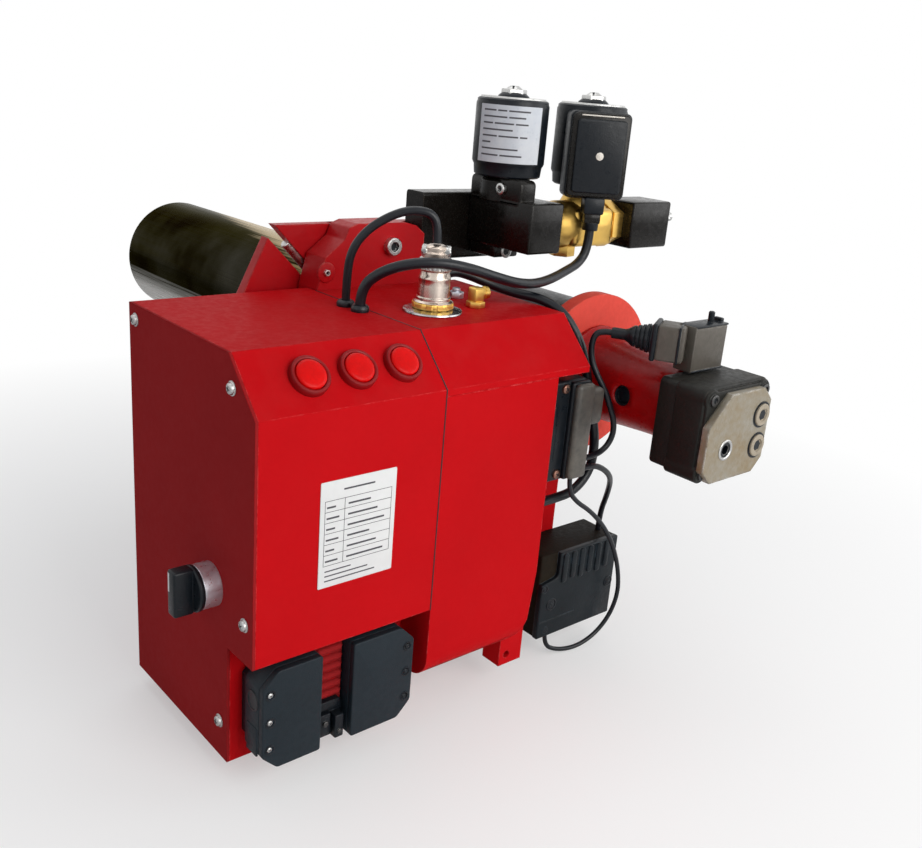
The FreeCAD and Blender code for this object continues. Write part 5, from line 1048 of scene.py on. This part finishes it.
def pump_plug():
    """The pump valve's coil and its plug: grey box in a black frame, ribbed boot and cable sleeve."""
    coil = Piece("pump_coil_box", "plug_box_plastic", "black_plastic")
    coil.block((143.5, -263.5, 5), (184.6, -246.5, 41), 2.0, segments=3)
    coil.block((143, -263.6, 5.4), (144.6, -246.4, 41.6), 0.7)
    coil.block((144, -263.6, 40.2), (185, -246.6, 42), 0.8, "black_plastic")
    coil.block((144, -264, 5), (185, -246, 6.6), 0.7, "black_plastic")
    coil.rod((172, -255, 41), Z, 2.5, 9.6, 0.8, "black_plastic")
    coil.block((180.5, -259, 40), (184.5, -251, 45), 1.0, "black_plastic")
    coil.done("black_plastic", "pump_valve_coil")
    place = upright(PLUG_TIP, PLUG_TURN)
    plug = Piece("pump_plug_box", "plug_box_plastic", "black_plastic")
    plug.block((37, -13.2, -14), (58.6, 13.2, 14), 2.2, place=place, segments=3)
    plug.block((53.5, -13.8, -14.6), (55.5, 13.8, 14.6), 0.6, "black_plastic", place)
    plug.block((33.2, -13.9, -14.9), (37.4, 13.9, 14.9), 1.6, "black_plastic", place, 3)
    boot = [(2.6, 0), (4.3, 0.2), (4.5, 2), (4.5, 11), (5.4, 13), (7.4, 16)]
    for rib in range(BOOT_RIBS):
        high, wide = 17.0 + rib * RIB_PITCH, 8.2 + rib
        boot += [(wide, high), (wide + 0.4, high + 2.3), (wide - 0.5, high + 2.6), (wide - 0.5, high + 3.3)]
    boot += [(12.2, 32.2), (12.2, 34)]
    plug.lathe(boot, (0, 0, 0), X, "black_plastic", 40, place)
    plug.done("black_plastic", "pump_valve_plug")


# Air side

SERVO_FACE = -189
SERVO_SCREWS = ((88.5, -203.0, 2.4), (99.0, -220.5, 4.2), (172.5, -218.0, 3.6))
SERVO_RIBS, SERVO_RIB_PITCH, SERVO_RIB_WIDE = 6, 10.6, 6.2


def servo_motor():
    """Damper motor: dark case with a ribbed cover, a notch for the linkage and sunk screws."""
    made = Piece("servo_case", "servo_plastic", "black_plastic", "servo_top")
    made.block((85.5, -185, -251.5), (178.5, -146, -173), 1.6, "servo_top", segments=3)
    cover = [(85, -252), (179, -252), (179, -173), (105, -173), (105, -193), (103, -196), (85, -199)]
    made.slab(cover, 183, -SERVO_FACE, 1.3, place=FRONTWAYS, corner=1.6, segments=3)
    for row in range(SERVO_RIBS):
        left = 108 + row * SERVO_RIB_PITCH
        made.slab(rectangle(left, left + SERVO_RIB_WIDE, -174, -202 + row % 2 * 2), 188.5, 190.6, 0.9,
                  place=FRONTWAYS, corner=2.4)
    made.block((86, -189.6, -236.2), (130, -188.8, -235.4), finish="black_plastic")
    for x, level, wide in SERVO_SCREWS:
        made.lathe([(wide + 1.6, 0), (wide + 1.6, 0.7), (wide + 0.5, 0.9), (wide + 0.3, 0.2)],
                   (x, SERVO_FACE + 0.1, level), -Y, "black_plastic", 32)
        made.cross_screw((x, SERVO_FACE, level), -Y, wide, 0.7, "black_plastic")
    # Black disc: painted shade of a hole in the cover
    made.lathe([(3.4, 0), (3.4, 0.3), (2.2, 0.3)], (95, SERVO_FACE, -245), -Y, "black_plastic", 24)
    made.done("blue_grey_plastic", "servo_body")


def terminal_box():
    """Cable box on the housing's side: flange, bulged lid with a side lobe, and a gasket line."""
    made = Piece("terminal_box_case", "black_plastic", "lid_painted_highlight")
    made.block((53, -202, -93), (96, -176, -9), 2.4, segments=3)
    made.block((76, -206, -92), (97, -200, -10), 2.0, segments=3)
    # The lid's bulge and lobe take the lighter grey-brown as painted highlight
    made.block((77, -212, -91), (96.4, -205, -11), 4.2, "lid_painted_highlight", segments=5)
    made.block((88, -210, -48), (111, -196, -17), 4.5, "lid_painted_highlight", segments=4)
    made.block((60, -203.2, -74), (65, -201.5, -28), 0.8)
    made.done("black_plastic", "terminal_box")


# Top of the casing

PLUG_AXIS = (-13.0, -133.0, 0.0)
KNURLS, RING_NOTCHES = 24, 12
CLAMP_TURN = math.radians(-42)


def round_connector():
    """Nickel round connector: zinc flange, barrel, knurled collar, cord clamp, and a brass ring nut."""
    made = Piece("round_connector", "warm_nickel", "bright_zinc", "zinc_plated")
    made.lathe([(15, 39), (22.6, 39), (23, 39.6), (22.6, 40.8), (17, 41.8), (15, 41.8)], PLUG_AXIS, Z,
               "bright_zinc", 96)
    made.lathe([(15.4, 47), (13.2, 48.4), (13.2, 50.4), (12.4, 51.2), (12.2, 60), (11.9, 63), (12.3, 64),
                (12.3, 66), (11.4, 67.4), (11.2, 70.5), (12.6, 71.4), (12.8, 72)], PLUG_AXIS, Z, segments=64)
    made.lathe([(11, 71), (12.2, 71.6), (12.2, 79.4), (11, 80.2)], PLUG_AXIS, Z, "zinc_plated", 40)
    for step in range(KNURLS):
        made.block((11.6, -0.8, 72.2), (12.9, 0.8, 78.8), 0.3, "zinc_plated",
                   upright(PLUG_AXIS, step * 2 * math.pi / KNURLS), 1)
    made.lathe([(10.4, 80), (10.4, 84), (9.2, 85), (9.2, 88), (8, 89), (5, 90), (4, 90)], PLUG_AXIS, Z,
               segments=40)
    clamp = upright(PLUG_AXIS, CLAMP_TURN)
    made.block((-11, -5, 81.5), (11, -1.2, 89), 1.0, "zinc_plated", clamp)
    made.block((-11, 1.2, 81.5), (11, 5, 89), 1.0, "zinc_plated", clamp)
    for side in (-8.8, 8.8):
        made.lathe([(2.4, 0), (2.4, 1.4), (1.8, 2), (0, 2)], (side, -5, 85.4), -Y, "zinc_plated", 20, clamp)
    made.done("chrome", "cable_connector")
    ring = Piece("connector_ring_nut", "brass")
    ring.lathe([(13, 42), (15.2, 42), (15.5, 42.6), (15.5, 46.2), (15, 47), (13, 47)], PLUG_AXIS, Z,
               segments=64)
    for step in range(RING_NOTCHES):
        ring.block((14.6, -2.4, 42.3), (15.9, 2.4, 46.6), 0.5,
                   place=upright(PLUG_AXIS, step * 2 * math.pi / RING_NOTCHES + 0.2), segments=1)
    ring.done("brass", "connector_ring")


GROMMETS = ((-66, -94, 3.3), (-66, -113, 4.1), (22, -94, 4.1))


def top_fittings():
    """Rubber grommets of the cords and the brass oil elbow on the cover."""
    made = Piece("cord_grommets", "black_rubber")
    for x, y, hole in GROMMETS:
        made.lathe([(hole, 38), (hole, 43.4), (hole + 1.6, 43.9), (6.6, 42.6), (7, 41.2), (6.8, 39.4),
                    (6.8, 38)], (x, y, 0), Z)
    made.done("black_rubber", "cable_grommets")
    elbow = Piece("oil_elbow", "brass")
    elbow.hexagon((29.6, -134, LID_TOP), Z, 7.6, 5, 0.8, roll=0.3)
    elbow.block((24.6, -139, 43.5), (34.6, -129, 55), 1.6, segments=3)
    elbow.lathe([(0, 0), (4.2, 0), (4.2, 3), (5, 3.4), (5, 6.6), (4.4, 7.2), (0, 7.2)], (33.6, -134, 50), X,
                segments=32)
    elbow.done("brass", "oil_inlet_fitting")


def casting_details():
    """Boss and small screw on the collar, the seam between cabinet and cover, and the pump's bell."""
    made = Piece("collar_ear", "cast_paint", "zinc_plated", "black_plastic")
    made.lathe([(8.6, 0), (8.2, 0.6), (7.2, 0.9), (0, 0.9)], (-49, -40, 53), -Y)
    made.socket_screw((-49, -40.8, 53), -Y, 2.6, 2.2, "zinc_plated")
    made.done("red_cast")
    seam = Piece("casing_seam", "black_rubber")
    seam.slab([(-40, 38), (-40, 39.25), (-176.1, 39.25), (-210.25, 4.2), (-210.25, -168), (-209, -168),
               (-209, 3.6), (-175.6, 38)], -58.5, -57.6, place=SIDEWAYS)
    seam.done("black_rubber")
    bell_with_window()


BELL_FOOT = (160.0, -150.6, -27.0)
WINDOW_SPOT, WINDOW_OUT, WINDOW_RADIUS = Vector((127.0, -212.0, -25.5)), Vector((-1.0, 0.0, 0.1)), 8.6


def bell_with_window():
    """The dark red bell between bracket and pump, with its round sight window cut through the wall."""
    made = Piece("pump_bell", "bell_paint")
    made.lathe([(27, 102), (31, 102), (31.4, 98), (32, 74), (33.5, 50), (36.5, 18), (37.5, 10), (40, 5),
                (43, 3), (43, 0), (27, 0), (27, 102)], BELL_FOOT, -Y, segments=96)
    bell = made.done("dark_red_cast", "bell_adapter")
    drill = Piece("window_drill", "bell_paint")
    drill.rod(WINDOW_SPOT - WINDOW_OUT * 16, WINDOW_OUT, WINDOW_RADIUS, 40, segments=48)
    cutter = drill.loose()
    cut = bell.modifiers.new("window", "BOOLEAN")
    cut.operation, cut.solver, cut.object = "DIFFERENCE", "EXACT", cutter
    bpy.context.view_layer.update()
    opened = bpy.data.meshes.new_from_object(bell.evaluated_get(bpy.context.evaluated_depsgraph_get()))
    bell.modifiers.clear()
    bell.data = opened
    bpy.data.objects.remove(cutter)
    rim = Piece("window_rim", "black_rubber", "black_plastic")
    spot = WINDOW_SPOT - WINDOW_OUT * 3.5
    rim.lathe([(8.7, -2), (8.7, 1.2), (7.6, 1.4), (7.2, 0.4), (7.2, -2)], spot, WINDOW_OUT)
    # Black disc inside the rim: painted shade of the bell's interior
    rim.lathe([(7.4, -1.6), (4, -1.0), (0, -0.8)], spot, WINDOW_OUT, "black_plastic", 40)
    rim.done("dark_red_cast")


# Studio, in metres

FLOOR_GAP, FLOOR_HALF = 0.0015, 8.0
SHADOW_ENDS, WHITE_FROM, SHADOW_FADE = 0.30, 0.95, 0.35
CAMERA_SPOT = (-0.48998, -0.71078, 0.2061)
CAMERA_AZIMUTH, CAMERA_ELEVATION, CAMERA_ROLL = -41.76, 18.86, 4.78
SENSOR_MM = 36.0
BURNER_MIDDLE = (0, -0.15, -0.08)
LAMPS = (("front", (0.12, -1.62, 0.62), BURNER_MIDDLE, 1.1, 17, (1, 0.98, 0.95)),
         ("right", (1.3, -1.1, 0.5), BURNER_MIDDLE, 1.0, 6, (1, 1, 1)),
         ("left", (-1.7, -0.2, 0.6), BURNER_MIDDLE, 1.1, 1.8, (0.94, 0.97, 1)),
         ("top", (0.2, 0.5, 1.7), (0, 0, 0), 1.4, 5.5, (1, 1, 1)))


def add_light(name, spot, target, width, power, tint):
    """A square soft lamp that faces its target."""
    data = bpy.data.lights.new(name, "AREA")
    data.shape = "SQUARE"
    data.size = width
    data.energy = power
    data.color = tint
    lamp = bpy.data.objects.new(name, data)
    lamp.matrix_world = aim(spot, Vector(spot) - Vector(target))
    bpy.context.scene.collection.objects.link(lamp)


def camera_matrix(azimuth, elevation, roll, spot):
    """The camera looks along its own -Z. Azimuth 0 looks along +Y."""
    across, up = math.radians(azimuth), math.radians(elevation)
    back = Vector((math.sin(across) * math.cos(up), -math.cos(across) * math.cos(up), math.sin(up)))
    right = Z.cross(back).normalized()
    above = back.cross(right)
    turn = math.radians(roll)
    side = right * math.cos(turn) + above * math.sin(turn)
    top = above * math.cos(turn) - right * math.sin(turn)
    return Matrix.Translation(Vector(spot)) @ Matrix((side, top, back)).transposed().to_4x4()


def add_camera():
    data = bpy.data.cameras.new("photo_camera")
    data.sensor_width = SENSOR_MM
    data.lens = sizes().camera_lens * MM_IN_M
    camera = bpy.data.objects.new("photo_camera", data)
    camera.matrix_world = camera_matrix(CAMERA_AZIMUTH, CAMERA_ELEVATION, CAMERA_ROLL, CAMERA_SPOT)
    bpy.context.scene.collection.objects.link(camera)
    bpy.context.scene.camera = camera


def blended_surface(tree, factor, first, second, output):
    """Mixes two shaders by a factor, and gives the result to the output node."""
    blend = tree.nodes.new("ShaderNodeMixShader")
    for socket, value in zip(blend.inputs, (factor, first.outputs[0], second.outputs[0])):
        link(tree, value, socket)
    link(tree, blend.outputs[0], output.inputs["Surface"])


def pale_backdrop():
    """A world that is white to the camera and in reflections, and lights the object gently."""
    world = bpy.data.worlds.new("studio")
    world.use_nodes = True
    tree = world.node_tree
    soft = tree.nodes["Background"]
    set_inputs(soft, Color=(0.86, 0.88, 0.92, 1), Strength=0.38)
    white = tree.nodes.new("ShaderNodeBackground")
    set_inputs(white, Color=(1, 1, 1, 1))
    blended_surface(tree, seen_directly(tree), soft, white, tree.nodes["World Output"])
    bpy.context.scene.world = world


def seen_directly(tree):
    """1 for camera, glossy and transmission rays, and 0 for the rays that light the object."""
    path = tree.nodes.new("ShaderNodeLightPath")
    both = maths(tree, "MAXIMUM", path.outputs["Is Camera Ray"], path.outputs["Is Glossy Ray"])
    return maths(tree, "MAXIMUM", both, path.outputs["Is Transmission Ray"])


def floor_material():
    """Pale floor that keeps the shadow near the object and fades to white further out."""
    tree, shader = bare_material("floor_white")
    clouds = spread(tree, noise(tree, here(tree), 3.0), 0.3, 0.7)
    link(tree, mixed(tree, clouds, (0.88, 0.88, 0.88), (0.90, 0.90, 0.90)), shader.inputs["Base Color"])
    set_inputs(shader, Roughness=0.7)
    distance = tree.nodes.new("ShaderNodeVectorMath")
    distance.operation = "LENGTH"
    link(tree, here(tree), distance.inputs[0])
    path = tree.nodes.new("ShaderNodeLightPath")
    fade = maths(tree, "MULTIPLY", path.outputs["Is Camera Ray"],
                 spread(tree, distance.outputs["Value"], SHADOW_ENDS, WHITE_FROM, SHADOW_FADE, 1.0))
    white = tree.nodes.new("ShaderNodeEmission")
    blended_surface(tree, fade, shader, white, tree.nodes["Material Output"])
    return MATERIALS["floor_white"]


def add_floor():
    bm = bmesh.new()
    bmesh.ops.create_grid(bm, x_segments=2, y_segments=2, size=FLOOR_HALF)
    bmesh.ops.translate(bm, vec=(0, 0, CAD_BOX[0][2] - FLOOR_GAP), verts=bm.verts)
    mesh = bpy.data.meshes.new("studio_floor")
    bm.to_mesh(mesh)
    bm.free()
    mesh.materials.append(floor_material())
    floor = bpy.data.objects.new("studio_floor", mesh)
    bpy.context.scene.collection.objects.link(floor)


def build_stage():
    bpy.context.scene.view_settings.view_transform = "Standard"
    pale_backdrop()
    add_floor()
    for lamp in LAMPS:
        add_light(*lamp)
    add_camera()


# Operators

class BuildStage(bpy.types.Operator):
    """Places the camera, the lights and the pale floor"""
    bl_idname = "burner.build_stage"
    bl_label = "Build stage"

    def execute(self, context):
        build_stage()
        return {"FINISHED"}


class RouteCords(bpy.types.Operator):
    """Lays the six black cords along their routes"""
    bl_idname = "burner.route_cords"
    bl_label = "Route cords"

    def execute(self, context):
        for name, (diameter, run, route) in CORD_ROUTES.items():
            route_cord(name, diameter, route)
        return {"FINISHED"}


class FinishNodes(bpy.types.Operator):
    """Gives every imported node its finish"""
    bl_idname = "burner.finish_nodes"
    bl_label = "Finish nodes"

    def execute(self, context):
        finish_nodes()
        return {"FINISHED"}


class MarkPlate(bpy.types.Operator):
    """Fixes the blank rating plate with its ruled lines"""
    bl_idname = "burner.mark_plate"
    bl_label = "Rating plate"

    def execute(self, context):
        rating_plate()
        return {"FINISHED"}


class PressLouvres(bpy.types.Operator):
    """Presses the louvres into the recess and adds the sockets' latch"""
    bl_idname = "burner.press_louvres"
    bl_label = "Recess louvres"

    def execute(self, context):
        recess_louvres()
        return {"FINISHED"}


class DriveScrews(bpy.types.Operator):
    """Makes every visible screw, bolt and port plug"""
    bl_idname = "burner.drive_screws"
    bl_label = "Screws and bolts"

    def execute(self, context):
        case_screws()
        return {"FINISHED"}


class FitButtons(bpy.types.Operator):
    """Fits the three red reset buttons"""
    bl_idname = "burner.fit_buttons"
    bl_label = "Reset buttons"

    def execute(self, context):
        reset_buttons()
        return {"FINISHED"}


class FitSelector(bpy.types.Operator):
    """Fits the chrome selector switch"""
    bl_idname = "burner.fit_selector"
    bl_label = "Selector switch"

    def execute(self, context):
        selector_switch()
        return {"FINISHED"}


class MouldPlugs(bpy.types.Operator):
    """Moulds the two wiring plugs"""
    bl_idname = "burner.mould_plugs"
    bl_label = "Wiring plugs"

    def execute(self, context):
        wiring_plugs()
        return {"FINISHED"}


class WindCoils(bpy.types.Operator):
    """Makes both solenoid coils with their washers, nuts and blank label"""
    bl_idname = "burner.wind_coils"
    bl_label = "Solenoid coils"

    def execute(self, context):
        solenoid_coils()
        return {"FINISHED"}


class CoverCoil(bpy.types.Operator):
    """Makes the second coil's plug cover"""
    bl_idname = "burner.cover_coil"
    bl_label = "Coil plug cover"

    def execute(self, context):
        coil_cover()
        return {"FINISHED"}


class CastValves(bpy.types.Operator):
    """Makes the valve block, the brass valve body and the inlet block"""
    bl_idname = "burner.cast_valves"
    bl_label = "Valve bodies"

    def execute(self, context):
        valve_blocks()
        return {"FINISHED"}


class CastPump(bpy.types.Operator):
    """Makes the pump casting and the trim on its cover"""
    bl_idname = "burner.cast_pump"
    bl_label = "Oil pump"

    def execute(self, context):
        oil_pump()
        return {"FINISHED"}


class FitPumpPlug(bpy.types.Operator):
    """Makes the pump valve's coil and its plug"""
    bl_idname = "burner.fit_pump_plug"
    bl_label = "Pump plug"

    def execute(self, context):
        pump_plug()
        return {"FINISHED"}


class FitServo(bpy.types.Operator):
    """Makes the damper motor's case"""
    bl_idname = "burner.fit_servo"
    bl_label = "Damper motor"

    def execute(self, context):
        servo_motor()
        return {"FINISHED"}


class FitTerminalBox(bpy.types.Operator):
    """Makes the cable box on the housing's side"""
    bl_idname = "burner.fit_terminal_box"
    bl_label = "Terminal box"

    def execute(self, context):
        terminal_box()
        return {"FINISHED"}


class TurnConnector(bpy.types.Operator):
    """Makes the round connector and its brass ring nut"""
    bl_idname = "burner.turn_connector"
    bl_label = "Round connector"

    def execute(self, context):
        round_connector()
        return {"FINISHED"}


class FitTop(bpy.types.Operator):
    """Makes the grommets and the brass oil elbow"""
    bl_idname = "burner.fit_top"
    bl_label = "Top fittings"

    def execute(self, context):
        top_fittings()
        return {"FINISHED"}


class DetailCastings(bpy.types.Operator):
    """Adds the small forms of the red castings"""
    bl_idname = "burner.detail_castings"
    bl_label = "Casting details"

    def execute(self, context):
        casting_details()
        return {"FINISHED"}


OPERATORS = (BuildStage, RouteCords, FinishNodes, MarkPlate, PressLouvres, DriveScrews, FitButtons,
             FitSelector, MouldPlugs, WindCoils, CoverCoil, CastValves, CastPump, FitPumpPlug, FitServo,
             FitTerminalBox, TurnConnector, FitTop, DetailCastings)


class BurnerPanel(bpy.types.Panel):
    """The burner's sizes, colours and steps"""
    bl_idname = "VIEW3D_PT_burner"
    bl_label = "Dual fuel burner"
    bl_space_type = "VIEW_3D"
    bl_region_type = "UI"
    bl_category = "Burner"

    def draw(self, context):
        for group in (context.scene.burner_sizes, context.scene.burner_colours):
            box = self.layout.box()
            for name in group.__annotations__:
                box.prop(group, name)
        for step in OPERATORS:
            self.layout.operator(step.bl_idname)


def register():
    for made in (BurnerSizes, BurnerColours, *OPERATORS, BurnerPanel):
        bpy.utils.register_class(made)
    bpy.types.Scene.burner_sizes = bpy.props.PointerProperty(type=BurnerSizes)
    bpy.types.Scene.burner_colours = bpy.props.PointerProperty(type=BurnerColours)


def unregister():
    del bpy.types.Scene.burner_sizes, bpy.types.Scene.burner_colours
    for made in (BurnerPanel, *reversed(OPERATORS), BurnerColours, BurnerSizes):
        bpy.utils.unregister_class(made)


def main():
    register()
    make_materials()
    for step in OPERATORS:
        section, name = step.bl_idname.split(".")
        getattr(getattr(bpy.ops, section), name)()
    bpy.context.view_layer.update()
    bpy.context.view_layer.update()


if __name__ == "__main__":
    main()
